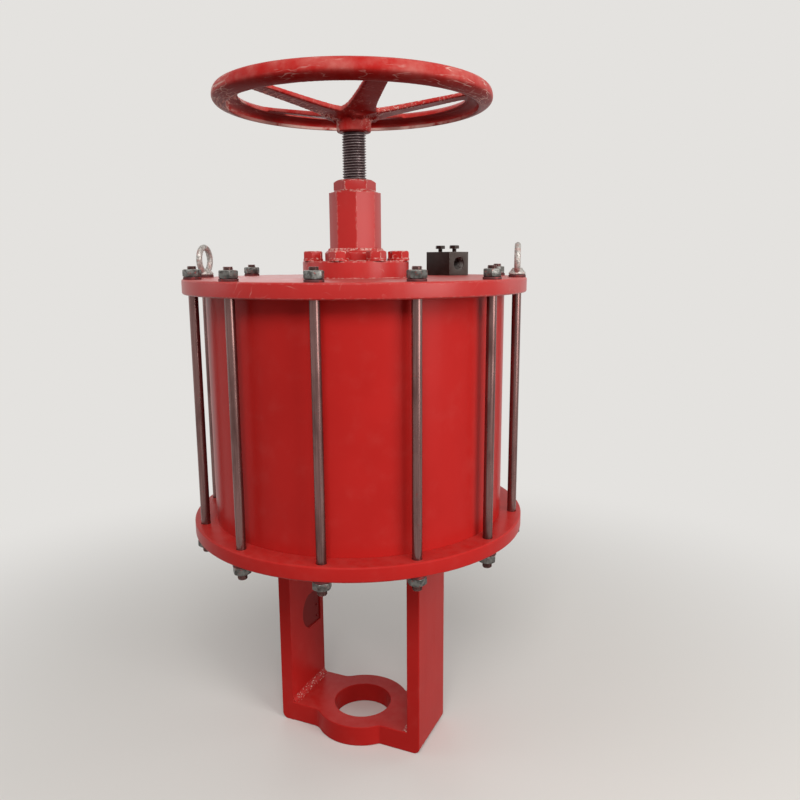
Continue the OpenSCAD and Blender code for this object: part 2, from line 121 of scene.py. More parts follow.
class ActuatorSizes(bpy.types.PropertyGroup):
    """Sizes that the finished pieces add to the frame"""

    plate_edge: size("Plate edge", "Radius on the edges of the turned plates", 0.8)
    bar_edge: size("Bar edge", "Radius on the edges of the yoke's flat bars", 1.6)
    fitting_edge: size("Fitting edge", "Radius on the edges of the painted fittings on top", 1.0)
    fastener_edge: size("Fastener edge", "Radius on the edges of nuts, bolts and washers", 0.35)
    foot_fillet_left: size("Left foot fillet", "Radius from the foot's round middle to its left end", 30)
    foot_fillet_right: size("Right foot fillet", "Radius from the foot's round middle to its right end", 9)
    seat_level: size("Seat level", "Level of the milled seat, from the left leg's inner face", -2.5)
    weld_leg: size("Weld leg", "Leg of the hollow welds between the yoke's legs and foot", 11)
    plate_weld_leg: size("Plate weld leg", "Leg of the fillet welds under the bottom plate", 5)
    sleeve_weld_leg: size("Sleeve weld leg", "Leg of the fillet weld round the octagonal sleeve", 4)
    weld_ripple: size("Weld ripple", "Distance from one ripple of a weld to the next", 3)
    rod_pitch: size("Tie-rod pitch", "Pitch of the thread on the tie rods", 2)
    rod_thread: size("Tie-rod thread", "Length of thread that is cut on each end of a tie rod", 36)
    rod_end_pitch: size("Rod-end pitch", "Pitch of the thread on the piston rod's lower end", 4)
    screw_pitch: size("Screw pitch", "Pitch of the drive screw's thread", 4.5)
    port_pitch: size("Port pitch", "Pitch of the thread in the air port", 1.8)
    eye_wire: size("Eye wire", "Thickness of an eye nut's ring", 11)
    eye_voxel: size("Eye grain", "Size of the steps that blend an eye nut's ring into its base", 0.8)
    rim_width: size("Rim width", "Width of the handwheel rim's section", 44)
    rim_height: size("Rim height", "Height of the handwheel rim's section", 30)
    rim_rise: size("Rim rise", "Height of the rim's middle above the hub's underside", 53)
    rim_lean: angle("Rim lean", "Lean of the rim's section, outer side up", 13)
    rim_squareness: number("Rim squareness", "2 makes the section an ellipse, and more is squarer", 2.7)
    rim_hollow: number("Rim hollow", "Width of the hollow, as a share of the rim's height", 0.93)
    hollow_in: number("Hollow inwards", "Hollow's distance inwards, as a share of the rim's width", 0.41)
    hollow_down: number("Hollow down", "Hollow's distance down, as a share of the rim's height", 0.27)
    hub_width: size("Hub width", "Diameter of the handwheel's hub", 60)
    spoke_hub_width: size("Spoke width at hub", "Width of a spoke where it leaves the hub", 50)
    spoke_rim_width: size("Spoke width at rim", "Width of a spoke where it meets the rim", 33)
    spoke_hub_depth: size("Spoke depth at hub", "Thickness of a spoke at the hub", 10)
    spoke_rim_depth: size("Spoke depth at rim", "Thickness of a spoke at the rim", 7)
    spoke_lift: size("Spoke lift", "Height of a spoke's outer end over the rim's middle", 3.5)
    spoke_slope: angle("Spoke slope", "Slope of the spokes, up from the hub", 11)
    spoke_count: IntProperty(name="Spokes", description="Number of spokes in the handwheel", default=5)
    spoke_turn: angle("First spoke", "Direction of the first spoke from +X", 22)
    casting_voxel: size("Casting grain", "Size of the steps that blend the handwheel's spokes and rim", 1.8)


class ActuatorColours(bpy.types.PropertyGroup):
    """Colours of the finishes"""

    enamel: colour("Enamel", "Red machinery enamel", "B72421")
    enamel_deep: colour("Deep enamel", "The same enamel where it lies thick", "9A1512")
    # Painted shade: a darker enamel for the milled seat and for the handwheel's undersides
    enamel_painted_shade: colour("Pooled enamel", "The same enamel where it has pooled on a seat", "6E0F0E")
    enamel_chalk: colour("Chalked enamel", "Enamel that has been rubbed or dusted", "C97A72")
    # This pale colour also paints glare and highlights: on the scuffed sides, the rim's lowest lip and the
    # weld spatter
    primer: colour("Primer", "Pale primer and bruised paint at chips", "DDB8AE")
    # Dirt and painted shade: this dark colour goes deep into corners by ambient occlusion
    grime_and_shade: colour("Grime", "Oily dirt in corners", "2A1512")
    # Painted reflection: the rod steel is tinted red, for the red barrel that it mirrors
    rod: colour("Rod steel", "Drawn steel bar", "866663")
    rod_dark: colour("Rod scale", "Dark streaks on the drawn bar", "4A302E")
    nut: colour("Nut steel", "Dulled zinc plate", "706F6C")
    nut_dark: colour("Nut shade", "Stained zinc plate", "34312F")
    maroon: colour("Washer primer", "Red-brown primer on the washers", "4A0F12")
    galvanised: colour("Galvanising", "Dull hot-dip zinc", "C4C1BC")
    galvanised_dark: colour("Galvanising shade", "Darker zinc grain", "96928E")
    block: colour("Black iron", "Oxidised iron of the air block", "26130F")
    block_worn: colour("Worn iron", "Rubbed face of the air block", "4C403E")
    thread: colour("Thread crest", "Bright crests of the drive screw", "A39595")
    thread_dark: colour("Thread root", "Old grease in the drive screw's thread", "3E2D2F")
    iron: colour("Cast iron", "Machined grey iron of the piston", "5F5B57")


class ActuatorStage(bpy.types.PropertyGroup):
    """Floor, lights and camera"""

    floor: colour("Floor", "Pale floor and surroundings", "E4E2DF")
    floor_bounce: colour("Floor bounce", "What the floor passes on as soft light", "807C7A")
    key_power: number("Key", "Power of the large light on the right", 40)
    front_power: number("Front", "Power of the high light in front", 60)
    left_power: number("Left", "Power of the light on the left", 9)
    top_power: number("Top", "Power of the light overhead", 5)
    back_power: number("Back", "Power of the lights behind", 5)
    sky: number("Sky", "Strength of the even light from all round", 0.35)
    camera_distance: size("Camera distance", "Level distance from the axis to the camera", 1361.5)
    camera_height: size("Camera height", "Height of the camera above the floor", 912.8)
    camera_bearing: angle("Camera bearing", "Direction of the camera from the axis", -62.83)
    camera_aim: angle("Camera aim", "Direction that the camera looks in, from above", 113.89)
    camera_dip: angle("Camera dip", "How far the camera looks down", 10.79)
    camera_roll: angle("Camera roll", "Tilt of the camera about its own axis", -0.29)
    lens: number("Lens", "Focal length in millimetres on a 36 mm sensor", 33.42)


# ---------------------------------------------------------------- shared mesh work


def spin_round(bm, geom, steps, axis=UP):
    """Turns an outline once round an axis through the origin, and joins its end to its start."""
    bmesh.ops.spin(
        bm, geom=geom, cent=(0, 0, 0), axis=axis, dvec=(0, 0, 0), angle=math.tau, steps=steps,
        use_merge=True, use_duplicate=False,
    )


def pole(bm, profile, steps, close=False):
    """Turns a profile of (radius, height) points about Z into a solid, or a closed one into a ring."""
    verts = [bm.verts.new((radius, 0, height)) for radius, height in profile]
    after = verts[1:] + verts[:1] if close else verts[1:]
    edges = [bm.edges.new(pair) for pair in zip(verts, after)]
    spin_round(bm, verts + edges, steps)
    bmesh.ops.remove_doubles(bm, verts=bm.verts, dist=0.001 * MM)


def add_mesh(bm, part):
    """Adds one mesh to another."""
    mesh = bpy.data.meshes.new("part")
    part.to_mesh(mesh)
    part.free()
    bm.from_mesh(mesh)
    bpy.data.meshes.remove(mesh)


def add_pole(bm, profile, steps):
    """Adds a turned solid to a mesh that it overlaps."""
    part = bmesh.new()
    pole(part, profile, steps)
    add_mesh(bm, part)


def grow_thread(bm, diameter, pitch, low, high, steps):
    """A right-hand thread about Z, cut off level at both ends, with its first turns chamfered."""
    crest = diameter / 2
    # The depth and the flats of a 60-degree thread, as shares of its pitch
    root = crest - 0.61 * pitch
    tooth = ((root, 0), (root, 0.25), (crest, 0.5625), (crest, 0.6875))
    verts = []
    for turn in range(math.ceil((high - low) / pitch) + 3):
        base = low + (turn - 2) * pitch
        verts += [bm.verts.new((radius, 0, base + share * pitch)) for radius, share in tooth]
    edges = [bm.edges.new(pair) for pair in zip(verts, verts[1:])]
    bmesh.ops.spin(
        bm, geom=verts + edges, cent=(0, 0, 0), axis=UP, dvec=(0, 0, pitch / steps), angle=math.tau,
        steps=steps, use_merge=False, use_duplicate=False,
    )
    bmesh.ops.remove_doubles(bm, verts=bm.verts, dist=0.01 * MM)
    for height, normal in ((low, -UP), (high, UP)):
        bmesh.ops.bisect_plane(
            bm, geom=bm.verts[:] + bm.edges[:] + bm.faces[:], dist=0.0001 * MM,
            plane_co=(0, 0, height), plane_no=normal, clear_outer=True, clear_inner=False,
        )
    for vert in bm.verts:
        radius = math.hypot(vert.co.x, vert.co.y)
        end = min(vert.co.z - low, high - vert.co.z)
        limit = root + max(end, 0) * 0.9
        if radius > limit:
            vert.co.x *= limit / radius
            vert.co.y *= limit / radius
    fill_open_ends(bm)


def fill_open_ends(bm):
    """Closes every open loop of a mesh and points its faces outwards."""
    rim = [edge for edge in bm.edges if edge.is_boundary]
    if rim:
        bmesh.ops.holes_fill(bm, edges=rim, sides=0)
    bmesh.ops.recalc_face_normals(bm, faces=bm.faces)


def lift(bm, matrix, since=0):
    """Moves the vertices that were added after the first few."""
    bm.verts.ensure_lookup_table()
    bmesh.ops.transform(bm, matrix=matrix, verts=bm.verts[since:])


def node_mesh(node):
    """A copy of a frame node's mesh, joined up, with each flat face in one piece."""
    bm = bmesh.new()
    bm.from_mesh(frame["nodes"][node].data)
    bmesh.ops.remove_doubles(bm, verts=bm.verts, dist=0.01 * MM)
    bmesh.ops.dissolve_limit(
        bm, angle_limit=math.radians(0.5), use_dissolve_boundaries=False, verts=bm.verts, edges=bm.edges
    )
    return bm


def break_edges(bm, radius, segments=3, sharper_than=32, chosen=None):
    """Rounds every edge that turns by more than an angle, or those of them that are chosen."""
    limit = math.radians(sharper_than)
    sharp = [edge for edge in bm.edges if edge.is_manifold and edge.calc_face_angle(0) > limit]
    if chosen:
        sharp = [edge for edge in sharp if chosen(edge)]
    bmesh.ops.bevel(
        bm, geom=sharp, offset=radius, offset_type="OFFSET", segments=segments, profile=0.5,
        affect="EDGES", material=-1, clamp_overlap=True, loop_slide=True,
    )


def off_the_seat(bm):
    """Chooses the edges that don't lie on the mesh's lowest level, where paint fills the joint."""
    lowest = min(vert.co.z for vert in bm.verts)
    return lambda edge: max(vert.co.z for vert in edge.verts) > lowest + 0.1 * MM


def put_in_scene(name, data):
    """Makes an object of a mesh, a light or a camera, and puts it in the scene."""
    made = bpy.data.objects.new(name, data)
    bpy.context.scene.collection.objects.link(made)
    return made


def as_object(name, bm):
    """Turns a bmesh into an object in the scene."""
    mesh = bpy.data.meshes.new(name)
    bm.to_mesh(mesh)
    bm.free()
    return put_in_scene(name, mesh)


def finish_piece(name, bm, material, stands_for=(), body="root", crease=40):
    """Makes an object of a mesh: shaded smooth up to an angle, painted, and riding on its body."""
    limit = math.radians(crease)
    for face in bm.faces:
        face.smooth = True
    for edge in bm.edges:
        edge.smooth = not (edge.is_manifold and edge.calc_face_angle(0) > limit)
    piece = as_object(name, bm)
    piece.data.materials.append(bpy.data.materials[material])
    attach(piece, body)
    if stands_for:
        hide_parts(*stands_for)


def finish_nodes(prefix, material, nodes, radius, segments=2, crease=40):
    """Finishes frame nodes whose shape is right, as copies with broken edges."""
    for node in nodes:
        bm = node_mesh(node)
        break_edges(bm, radius, segments)
        finish_piece(prefix + node, bm, material, [node], crease=crease)


def blend_together(bm, voxel, smoothing):
    """Fuses overlapping solids into one skin, with soft fillets where they meet."""
    rough = as_object("rough", bm)
    remesh = rough.modifiers.new("Fuse", "REMESH")
    remesh.mode = "VOXEL"
    remesh.voxel_size = voxel
    soften = rough.modifiers.new("Soften", "SMOOTH")
    soften.factor = 0.5
    soften.iterations = smoothing
    evaluated = rough.evaluated_get(bpy.context.evaluated_depsgraph_get())
    fused = bmesh.new()
    fused.from_mesh(bpy.data.meshes.new_from_object(evaluated))
    bpy.data.objects.remove(rough)
    return fused


def width_of(node):
    """A node's width along X."""
    low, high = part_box(node)
    return high.x - low.x


def mount_of(name):
    """A mount from the record, with its radius and its length in metres."""
    mount = next(mount for mount in frame["record"]["mounts"] if mount["name"] == name)
    return mount, mount["dims"]["r_mm"] * MM, mount["dims"]["length_mm"] * MM


def middle(node):
    """The middle of a node's box, in plan, and its lowest and highest points."""
    low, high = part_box(node)
    return (low.x + high.x) / 2, (low.y + high.y) / 2, low.z, high.z


def weld_bead(bm, start, end, out, up, leg, ripple, seed, hollow=False):
    """A rippled weld in the corner between the directions out and up, proud or hollow."""
    rng = random.Random(seed)
    along = end - start
    steps = max(6, round(along.length / ripple * 4))
    arc = [math.radians(angle) for angle in range(0, 91, 15)]
    if hollow:
        curve = [(1 - math.sin(a), 1 - math.cos(a)) for a in arc]
    else:
        curve = [(math.cos(a), math.sin(a)) for a in arc]
    # The bead's back is sunk into both faces, as a share of its leg
    sunk = -0.1
    section = [(sunk, sunk), (1, sunk)] + curve + [(sunk, 1)]

    def place(step, bloat):
        origin = start + along * (step / steps)
        return [origin + (out * u + up * v) * leg * bloat for u, v in section]

    end_share, swell = (1.0, 0.02) if hollow else (0.7, 0.1)
    unevenness = 0.02
    face = bm.faces.new([bm.verts.new(point) for point in place(0, end_share)])
    for step in range(1, steps + 1):
        wave = abs(math.sin(math.pi * step / 4)) * swell
        share = end_share if step == steps else 1
        bloat = (0.95 + wave + rng.uniform(-unevenness, unevenness)) * share
        grown = bmesh.ops.extrude_face_region(bm, geom=[face])
        face = [item for item in grown["geom"] if isinstance(item, bmesh.types.BMFace)][0]
        for vert, point in zip(face.verts, place(step, bloat)):
            vert.co = point


def lay_welds(name, material, runs, up, leg, seed, hollow=False):
    """Makes one piece of the welds along several runs, each from a start to an end and facing out."""
    bm = bmesh.new()
    ripple = bpy.context.scene.actuator_sizes.weld_ripple
    for offset, (start, end, out) in enumerate(runs):
        weld_bead(bm, start, end, out, up, leg, ripple, seed + offset, hollow)
    fill_open_ends(bm)
    finish_piece(name, bm, material, crease=WELD)


# ---------------------------------------------------------------- finishes


def add(tree, kind, inputs=(), **settings):
    """Adds a node with its settings. An input is a value, a socket, or a node that feeds it."""
    made = tree.nodes.new(kind)
    for name, value in settings.items():
        setattr(made, name, value)
    for key, value in dict(inputs).items():
        if isinstance(value, bpy.types.Node):
            value = next(output for output in value.outputs if output.enabled)
        if isinstance(value, bpy.types.NodeSocket):
            tree.links.new(value, made.inputs[key])
        else:
            made.inputs[key].default_value = value
    return made


def new_finish(name):
    """An empty material: its tree, the coordinates of the piece that it is on, and the colours."""
    material = bpy.data.materials.new(name)
    material.use_nodes = True
    tree = material.node_tree
    tree.nodes.clear()
    return tree, add(tree, "ShaderNodeTexCoord").outputs["Object"], bpy.context.scene.actuator_colours


def end_in(tree, body, layers, roughness, heights, metallic=0.0, shine=0.5):
    """Ends a material in a shader: a colour under layers of others, a gloss and a surface in relief."""
    shader = add(tree, "ShaderNodeBsdfPrincipled", {
        "Base Color": painted_over(tree, body, layers), "Metallic": metallic, "Roughness": roughness,
        "Specular IOR Level": shine, "Normal": relief(tree, heights),
    })
    add(tree, "ShaderNodeOutputMaterial", {"Surface": shader})


def noise(tree, coords, grain, stretch, shift, detail, roughness):
    """Noise whose grain has a real width in metres, longer along some axes."""
    spread = [1 / (grain * part) for part in stretch]
    placed = {"Vector": coords, "Location": (shift, shift, shift), "Scale": spread}
    mapped = add(tree, "ShaderNodeMapping", placed)
    settings = {"Vector": mapped, "Scale": 1.0, "Detail": detail, "Roughness": roughness}
    return add(tree, "ShaderNodeTexNoise", settings)


def patches(tree, coords, grain, low, high, detail=3.0, stretch=(1, 1, 1), shift=0.0, amount=1.0):
    """Soft-edged patches of 0 to an amount, where grain is their real width in metres."""
    level = noise(tree, coords, grain, stretch, shift, detail, 0.55)
    return add(
        tree, "ShaderNodeMapRange",
        {"Value": level, "From Min": low, "From Max": high, "To Max": amount}, **EASED,
    )


def painted_over(tree, under, layers):
    """A colour with other colours over it, each as far as its mask says."""
    for mask, over in layers:
        under = add(tree, "ShaderNodeMix", {0: mask, 6: under, 7: over}, data_type="RGBA")
    return under


def greatest(tree, masks):
    """The greatest of several masks."""
    top = masks[0]
    for mask in masks[1:]:
        top = add(tree, "ShaderNodeMath", {0: top, 1: mask}, operation="MAXIMUM")
    return top


def relief(tree, heights):
    """A surface with several patterns in relief, each with its real depth in metres."""
    normal = None
    for height, depth in heights:
        under = {"Normal": normal} if normal else {}
        normal = add(tree, "ShaderNodeBump", {"Height": height, "Distance": depth, **under})
    return normal


def gloss(tree, mask, smooth, rough):
    """A roughness or an amount that goes from one value to another where a mask says."""
    return add(tree, "ShaderNodeMapRange", {"Value": mask, "To Min": smooth, "To Max": rough})


def corners_out(tree, radius, low=0.02, high=0.16, amount=1.0):
    """Up to an amount on edges that stand proud, where paint gets knocked, and 0 on flat faces."""
    soft = add(tree, "ShaderNodeBevel", {"Radius": radius}, samples=6)
    true_normal = add(tree, "ShaderNodeNewGeometry").outputs["True Normal"]
    turn = add(tree, "ShaderNodeVectorMath", {0: soft, 1: true_normal}, operation="DOT_PRODUCT")
    return add(
        tree, "ShaderNodeMapRange",
        {"Value": turn, "From Min": 1 - low, "From Max": 1 - high, "To Max": amount}, **EASED,
    )


def dirt_and_shade_in_corners(tree, reach, amount):
    """Up to an amount deep in corners, by ambient occlusion: dirt that gathers there and painted shade, and 0
    on open faces.
    """
    shelter = add(tree, "ShaderNodeAmbientOcclusion", {"Distance": reach}, samples=6)
    return add(
        tree, "ShaderNodeMapRange",
        {"Value": shelter.outputs["AO"], "From Min": 0.6, "From Max": 0.2, "To Max": amount}, **EASED,
    )


def facing(tree, axis, amount, low=0.6, high=0.98):
    """Up to an amount on faces that look along an axis: 0, 1 or 2. Limits under 0 take the other way."""
    normal = add(tree, "ShaderNodeNewGeometry").outputs["Normal"]
    parts = add(tree, "ShaderNodeSeparateXYZ", {0: normal})
    return add(
        tree, "ShaderNodeMapRange",
        {"Value": parts.outputs[axis], "From Min": low, "From Max": high, "To Max": amount}, **EASED,
    )


def scratches(tree, coords, spacing, width, stretch, shift, amount):
    """Thin winding lines of 0 to an amount, with their spacing and their width in metres."""
    field = noise(tree, coords, spacing, stretch, shift, 2.0, 0.5)
    level = add(tree, "ShaderNodeMath", {0: field, 1: 0.5}, operation="SUBTRACT")
    off = add(tree, "ShaderNodeMath", {0: level}, operation="ABSOLUTE")
    share = width / spacing
    return add(
        tree, "ShaderNodeMapRange",
        {"Value": off, "From Min": share, "From Max": 0.4 * share, "To Max": amount},
    )


def off_axis(tree, coords):
    """A point's place in plan, from the screw's axis."""
    return add(tree, "ShaderNodeVectorMath", {0: coords, 1: (1, 1, 0)}, operation="MULTIPLY")


def from_axis(tree, coords):
    """How far a point is from the screw's axis."""
    return add(tree, "ShaderNodeVectorMath", {0: off_axis(tree, coords)}, operation="LENGTH")


def round_axis(tree, coords, girth):
    """Coordinates that run round the screw's axis: the way round, the distance from it, the height."""
    parts = add(tree, "ShaderNodeSeparateXYZ", {0: coords})
    turn = add(
        tree, "ShaderNodeMath", {0: parts.outputs[1], 1: parts.outputs[0]}, operation="ARCTAN2"
    )
    way = add(tree, "ShaderNodeMath", {0: turn, 1: girth}, operation="MULTIPLY")
    return add(tree, "ShaderNodeCombineXYZ", {0: way, 1: from_axis(tree, coords), 2: parts.outputs[2]})


def on_side(tree, coords, degrees, reach, amount=1.0):
    """Up to an amount on the side of a round piece that faces a direction, and 0 an angle away from it."""
    side = (math.cos(math.radians(degrees)), math.sin(math.radians(degrees)), 0)
    outward = add(tree, "ShaderNodeVectorMath", {0: off_axis(tree, coords)}, operation="NORMALIZE")
    towards = add(tree, "ShaderNodeVectorMath", {0: outward, 1: side}, operation="DOT_PRODUCT")
    return add(
        tree, "ShaderNodeMapRange",
        {"Value": towards, "From Min": math.cos(reach), "From Max": math.cos(reach / 3), "To Max": amount},
        **EASED,
    )


def scuffs_and_glare(tree, coords, degrees, reach, amount, cover):
    """White scratches and streaks, which are partly painted glare, on the side of a round piece that faces a
    direction; cover adds more.
    """
    near = on_side(tree, coords, degrees, reach, amount)
    # The marks run round the piece, and have their true length at this distance from the axis
    girth = 250 * MM
    way = round_axis(tree, coords, girth)
    places = patches(
        tree, way, 22 * MM, 0.48 - cover, 0.64 - cover, stretch=(2, 1, 1), shift=8.8, amount=near
    )
    lines = scratches(tree, way, 16 * MM, 0.3 * MM, (4, 1, 1), 3.7, places)
    streaks = patches(
        tree, way, (1.6 + 8 * cover) * MM, 0.62 - 0.4 * cover, 0.7 - 0.4 * cover,
        stretch=(14, 1, 1), shift=1.8, amount=places,
    )
    return [lines, streaks]


def pale_lip_wear_and_highlight(tree, coords, lowest):
    """Paint worn pale along the lowest edge of the handwheel's rim, on the side that gets knocked, and a
    painted highlight along that edge.
    """
    knocked, reach = 117, 1.5
    inside, outside = 190 * MM, 195 * MM
    above, below = lowest + 6 * MM, lowest + 4.5 * MM
    side = on_side(tree, coords, knocked, reach)
    outer = add(
        tree, "ShaderNodeMapRange",
        {"Value": from_axis(tree, coords), "From Min": inside, "From Max": outside, "To Max": side},
    )
    level = add(tree, "ShaderNodeSeparateXYZ", {0: coords}).outputs[2]
    lip = add(
        tree, "ShaderNodeMapRange",
        {"Value": level, "From Min": above, "From Max": below, "To Max": outer},
    )
    return patches(tree, coords, 30 * MM, 0.3, 0.5, detail=5.0, shift=2.9, amount=lip)


def enamel(
    name, chips=0.0, dust=0.1, dirt_and_shade=0.3, chalk=0.06, blunt=0.01, casting=0.0, scuff_and_glare_sides=(), sags=1.0,
    seat=None, under=0.0, lip=None, shine=0.09,
):
    """Red machinery enamel, sprayed on after assembly: half gloss, with orange peel, sags and chips."""
    tree, coords, hues = new_finish(name)
    # Colour: thick and hazy areas, dust on top faces, and dirt and painted shade in corners
    thick = patches(tree, coords, 0.16, 0.35, 0.7, amount=0.25)
    haze = patches(tree, coords, 0.035, 0.5 - 0.24 * chalk, 0.85, detail=6.0, shift=3.1, amount=chalk)
    settled = facing(tree, 2, dust)
    dusty = patches(tree, coords, 0.018, 0.25, 0.7, detail=6.0, shift=7.7, amount=settled)
    layers = [
        (thick, hues.enamel_deep), (haze, hues.enamel_chalk), (dusty, hues.enamel_chalk),
        (dirt_and_shade_in_corners(tree, 7 * MM, dirt_and_shade), hues.grime_and_shade),
    ]
    if under:
        # Painted shade: the casting's undersides are painted darker
        layers.append((facing(tree, 2, under, -0.1, -0.7), hues.enamel_painted_shade))
    if seat is not None:
        # Painted shade: the milled seat that faces +X at this place along X is painted darker
        along = add(tree, "ShaderNodeSeparateXYZ", {0: coords}).outputs[0]
        here = add(tree, "ShaderNodeMath", {0: along, 1: seat, 2: 0.6 * MM}, operation="COMPARE")
        seat_shade = add(tree, "ShaderNodeMath", {0: here, 1: facing(tree, 0, 0.8)}, operation="MULTIPLY")
        layers.append((seat_shade, hues.enamel_painted_shade))
    worn_and_glare = []
    if chips:
        # Chips on the outer corners, and specks and faint scratches in some areas
        edge = corners_out(tree, 2.2 * MM, blunt, 7 * blunt)
        area = patches(tree, coords, 0.09, 0.52, 0.66, shift=9.2, amount=chips)
        faint = patches(tree, coords, 0.06, 0.5, 0.7, shift=4.9, amount=0.5 * chips)
        chip_low, chip_high = 0.6 - 0.13 * chips, 0.66 - 0.1 * chips
        worn_and_glare = [
            patches(tree, coords, 5 * MM, chip_low, chip_high, detail=6.0, shift=1.3, amount=edge),
            patches(tree, coords, 3.2 * MM, 0.7, 0.75, shift=5.9, amount=area),
            scratches(tree, coords, 40 * MM, 0.35 * MM, (1, 3, 1), 2.4, faint),
        ]
    # White scuffs, partly painted glare, on the side that each one faces
    for scuff_and_glare_side in scuff_and_glare_sides:
        worn_and_glare += scuffs_and_glare(tree, coords, *scuff_and_glare_side)
    if lip is not None:
        worn_and_glare.append(pale_lip_wear_and_highlight(tree, coords, lip))
    # Surface: orange peel of 3 mm, long sags down the sides, and the casting's own grain
    peel = patches(tree, coords, 3 * MM, 0.2, 0.8, detail=1.0)
    sagging = patches(tree, coords, 0.03, 0.3, 0.8, detail=2.0, stretch=(1, 1, 9), shift=4.2)
    heights = [(peel, 0.03 * MM), (sagging, 0.15 * MM * sags)]
    if casting:
        heights.append((patches(tree, coords, 5.5 * MM, 0.25, 0.75, detail=4.0, shift=6.1), casting))
    dull = [dusty, haze]
    if worn_and_glare:
        bare_and_glare = greatest(tree, worn_and_glare)
        layers.append((bare_and_glare, hues.primer))
        heights.append((bare_and_glare, -0.1 * MM))
        dull.append(bare_and_glare)
    roughness = gloss(tree, greatest(tree, dull), 0.33, 0.62)
    end_in(tree, hues.enamel, layers, roughness, heights, shine=shine)


def weld_enamel():
    """Enamel brushed over a weld: rough, with rows of pale spatter that are also painted glints on the rough
    bead.
    """
    tree, coords, hues = new_finish("enamelled_weld")
    uneven = patches(tree, coords, 0.012, 0.3, 0.8, amount=0.4)
    spatter_and_glints = patches(tree, coords, 4 * MM, 0.58, 0.63, detail=4.0)
    grain = patches(tree, coords, 1.6 * MM, 0.2, 0.8, detail=4.0, shift=1.7)
    layers = [(uneven, hues.enamel_deep), (spatter_and_glints, hues.primer)]
    heights = [(grain, 0.2 * MM), (spatter_and_glints, 0.2 * MM)]
    end_in(tree, hues.enamel, layers, gloss(tree, spatter_and_glints, 0.36, 0.7), heights, shine=0.2)


def drawn_steel():
    """Cold-drawn steel bar: half bright, with fine marks along its length and a brown oil film, tinted red as
    a painted reflection of the barrel.
    """
    tree, coords, hues = new_finish("drawn_steel")
    marks = patches(tree, coords, 1.6 * MM, 0.3, 0.75, detail=4.0, stretch=(1, 1, 60), amount=0.55)
    film = patches(tree, coords, 0.03, 0.42, 0.72, detail=5.0, stretch=(1, 1, 3), shift=2.2, amount=0.7)
    overspray = patches(tree, coords, 4 * MM, 0.64, 0.74, detail=4.0, shift=5.0, amount=0.5)
    layers = [(marks, hues.rod_dark), (film, hues.rod_dark), (overspray, hues.enamel_deep)]
    end_in(tree, hues.rod, layers, gloss(tree, film, 0.24, 0.42), [(marks, 0.03 * MM)], metallic=0.9)


def plated_nut_steel():
    """Zinc-plated nuts and bolts, dulled and stained, with some overspray, and with painted highlights: pale
    tops and glints on their corners.
    """
    tree, coords, hues = new_finish("dulled_zinc_plate")
    stain = patches(tree, coords, 7 * MM, 0.36, 0.66, detail=5.0, amount=0.85)
    # Painted glints: the corners are painted pale zinc
    edge = corners_out(tree, 1.0 * MM, 0.03, 0.2, amount=0.6)
    paint = patches(tree, coords, 5 * MM, 0.6, 0.68, detail=4.0, shift=3.3, amount=0.5)
    pits = patches(tree, coords, 1.3 * MM, 0.3, 0.7, shift=9.9)
    # Painted highlight on the top faces, and dirt and painted shade in the corners
    layers = [
        (stain, hues.nut_dark), (facing(tree, 2, 0.6, 0.3, 0.9), hues.galvanised), (edge, hues.galvanised),
        (paint, hues.enamel_deep), (dirt_and_shade_in_corners(tree, 6 * MM, 0.8), hues.grime_and_shade),
    ]
    end_in(tree, hues.nut, layers, gloss(tree, stain, 0.3, 0.55), [(pits, 0.05 * MM)], metallic=0.85)


def maroon_primer():
    """Flat red-brown primer on the thick washers, glossier where enamel ran over it."""
    tree, coords, hues = new_finish("maroon_primer")
    spray = patches(tree, coords, 9 * MM, 0.5, 0.66, detail=4.0, amount=0.5)
    grit = patches(tree, coords, 1.5 * MM, 0.3, 0.7)
    # Dirt and painted shade in the corners
    layers = [(spray, hues.enamel_deep), (dirt_and_shade_in_corners(tree, 6 * MM, 0.7), hues.grime_and_shade)]
    end_in(tree, hues.maroon, layers, gloss(tree, spray, 0.62, 0.4), [(grit, 0.06 * MM)])


def galvanised_forging():
    """Hot-dip zinc on a forging: pale, dull and slightly lumpy, with red dust in its hollows."""
    tree, coords, hues = new_finish("galvanised_forging")
    grain = patches(tree, coords, 4 * MM, 0.35, 0.65, detail=4.0)
    tint = patches(tree, coords, 9 * MM, 0.5, 0.66, detail=4.0, shift=6.4, amount=0.3)
    lumps = patches(tree, coords, 2.4 * MM, 0.25, 0.75, shift=1.9)
    # Dirt and painted shade in the corners
    layers = [
        (grain, hues.galvanised_dark), (tint, hues.enamel_chalk), (dirt_and_shade_in_corners(tree, 8 * MM, 0.6), hues.grime_and_shade),
    ]
    end_in(tree, hues.galvanised, layers, gloss(tree, grain, 0.42, 0.6), [(lumps, 0.25 * MM)], metallic=0.45)


def black_iron():
    """Oxidised iron block: brown-black, greyer on its port face, and bright where its corners chipped."""
    tree, coords, hues = new_finish("oxidised_iron")
    rub = patches(tree, coords, 0.02, 0.4, 0.7, detail=5.0, amount=0.25)
    edge = corners_out(tree, 1.4 * MM, 0.03, 0.2)
    chipped = patches(tree, coords, 4 * MM, 0.36, 0.56, detail=5.0, shift=2.6, amount=edge)
    tooling = patches(tree, coords, 1.2 * MM, 0.3, 0.7, stretch=(12, 12, 1), shift=7.1)
    # Dirt and painted shade in the corners
    layers = [
        (facing(tree, 0, 0.7), hues.iron), (rub, hues.block_worn), (chipped, hues.galvanised_dark),
        (dirt_and_shade_in_corners(tree, 8 * MM, 0.7), hues.grime_and_shade),
    ]
    heights = [(tooling, 0.06 * MM)]
    end_in(tree, hues.block, layers, gloss(tree, rub, 0.45, 0.62), heights, metallic=0.05, shine=0.15)


